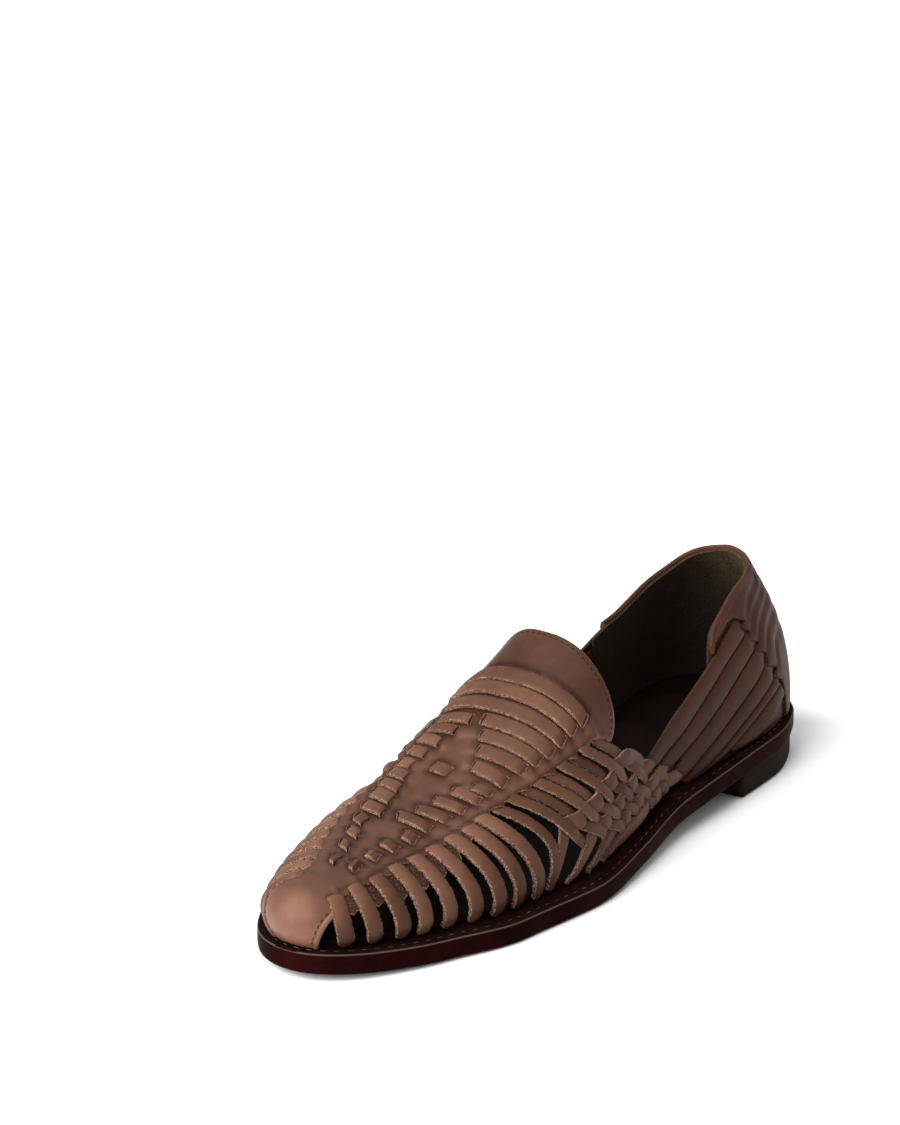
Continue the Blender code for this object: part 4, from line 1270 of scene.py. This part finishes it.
# Suede, its nap brushed up: a soft olive brown without shine, paler where the nap stands, and darkened
# down inside by painted shade
suede = finish(
    "Suede lining", "#20170e", {"clouds": (5, 130, 130, 130), "nap": (4, 1300, 1300, 1300)},
    (("clouds", 0.3, 0.72, "#3f301d"), ("nap", 0.45, 0.8, "#54432c"), ("tone", 1, 0, "#080503")),
    0.95, ("nap", 0.0003), 0.2,
    **{"Sheen Weight": 0.06, "Sheen Roughness": 0.5, "Sheen Tint": linear("#c9a577")},
)


def lining_shade(points):
    """The lining's tone: full colour near the collar, darker down towards the insole as painted shade."""
    return np.clip(1.25 - 1.3 * np.abs(unflat(points)[1]), 0.1, 1)


lining = blank()
for side in (-1, 1):
    front = list(topline(side)[1:] + (0, side * 0.004))
    front += [(4.20, side * 0.70), (4.10, side * 0.80), (4.00, side * 0.90), (3.95, side)]
    front += [(station, side) for station in (3.5, 3.0, 2.5, 2.0)]
    edge = flat(round_heel(side, 0.345, front))
    panel(lining, edge, LINING_LIFT, LINING_THICK, LINING_GRID, tone=lining_shade)
finished(lining, "suede_lining", [suede], "upper")

# Collar edge. The counter's top is pared thin, folded over the lining and glued, so that it ends in a thin
# band all the way round, whose worn fold is a little paler.
BAND_FIBRE = 0.3
BAND_TONE = 0.45
# The band's section: how far down from the edge in metres, and across from -1 inside to 1 outside
BAND = (
    (0.0024, 1.08), (0.0012, 1.12), (0.0002, 1.05), (-0.0005, 0.85), (-0.0007, 0.50), (-0.0006, 0.15),
    (0.0000, -0.20), (0.0012, -0.35), (0.0022, -0.35), (0.0024, 0.10), (0.0026, 0.70),
)
halves = [paced(topline(side) * (1, side), 85) * (1, side) for side in (-1, 1)]
station, around = np.vstack((halves[0][::-1], halves[1][1:])).T
inner = on_last(station, around, 0.0)
outer = on_last(station, around, COUNTER_LIFT)
down = on_last(station, around + np.sign(around) * 0.03, COUNTER_LIFT) - outer
down /= np.linalg.norm(down, axis=1)[:, None]
collar = blank()
bmesh.ops.create_grid(collar, x_segments=len(BAND), y_segments=len(station) - 1, size=0.5)
cut = collar.verts.layers.float["cut"]
shade = collar.verts.layers.float["tone"]
for vert in collar.verts:
    below, across = BAND[round((vert.co.x + 0.5) * len(BAND)) % len(BAND)]
    i = round((vert.co.y + 0.5) * (len(station) - 1))
    vert.co = (inner[i] + outer[i]) / 2 + (outer[i] - inner[i]) / 2 * across + down[i] * below
    vert[cut] = BAND_FIBRE if below < 0 else 0.0
    vert[shade] = BAND_TONE
bmesh.ops.remove_doubles(collar, verts=collar.verts, dist=1e-7)
bmesh.ops.holes_fill(collar, edges=[edge for edge in collar.edges if edge.is_boundary], sides=0)
bmesh.ops.recalc_face_normals(collar, faces=collar.faces)
finished(collar, "collar_band", [counter_leather], "upper")

# Studio. A pale matt floor that goes white in the light, a wide soft key light from ahead of the toe on the
# inner side, a panel overhead and weak light from all round.
FLOOR_SIZE = 15
FLOOR_DROP = 0.0002
# Matt white paint: even and without shine
floor_paint = finish(
    "Pale studio floor", "#f4f4f4", {"clouds": (2, 3, 3, 3)}, (("clouds", 0, 1, "#f8f8f8"),),
    0.9, ("clouds", 0.0), 0.0,
)
floor_mesh = bmesh.new()
bmesh.ops.create_grid(floor_mesh, x_segments=4, y_segments=4, size=FLOOR_SIZE)
floor_data = bpy.data.meshes.new("floor")
floor_mesh.to_mesh(floor_data)
floor_mesh.free()
floor_data.materials.append(floor_paint)
floor = bpy.data.objects.new("floor", floor_data)
bpy.context.scene.collection.objects.link(floor)
floor.location.z = -FLOOR_DROP

world = bpy.data.worlds.new("Studio")
bpy.context.scene.world = world
world.use_nodes = True
world.node_tree.nodes["Background"].inputs["Color"].default_value = (1, 1, 1, 1)
world.node_tree.nodes["Background"].inputs["Strength"].default_value = 0.52


def light(name, kind, strength, place, aim, **settings):
    """A lamp at a place, turned towards what it aims at."""
    lamp = bpy.data.lights.new(name, kind)
    lamp.energy = strength
    for key, value in settings.items():
        setattr(lamp, key, value)
    stand = bpy.data.objects.new(name, lamp)
    stand.location = place
    stand.rotation_euler = (Vector(place) - Vector(aim)).to_track_quat("Z", "Y").to_euler()
    bpy.context.scene.collection.objects.link(stand)


light("Soft key", "SUN", 6.2, (-0.75, 0.22, 0.58), (0, 0, 0), angle=math.radians(65))
light("Overhead panel", "AREA", 3.2, (0.15, -0.15, 1.3), (0, 0, 0.05), size=0.9)

# Camera. It stands at the photograph's place, ahead of the toe on the outer side, with a long lens,
# and looks down 20 degrees. Its place was worked out from the outlines of sole, tongue and collar.
PHOTO_TALL = 1125
FOCAL_PIXELS = 4282.69
SENSOR = 36
RIGHT = (0.58255, -0.81280, 0.0)
UP = (0.27157, 0.19464, 0.94253)
BACK = (-0.76609, -0.54907, 0.33412)
EYE = (-1.22063, -0.833555 - MIDDLE, 0.635057)
camera = bpy.data.cameras.new("Camera")
camera.lens = FOCAL_PIXELS * SENSOR / PHOTO_TALL
camera.clip_end = 60
eye = bpy.data.objects.new("Camera", camera)
eye.matrix_world = Matrix((*zip(RIGHT, UP, BACK, EYE), (0, 0, 0, 1)))
bpy.context.scene.collection.objects.link(eye)
bpy.context.scene.camera = eye
bpy.context.scene.view_settings.view_transform = "Standard"
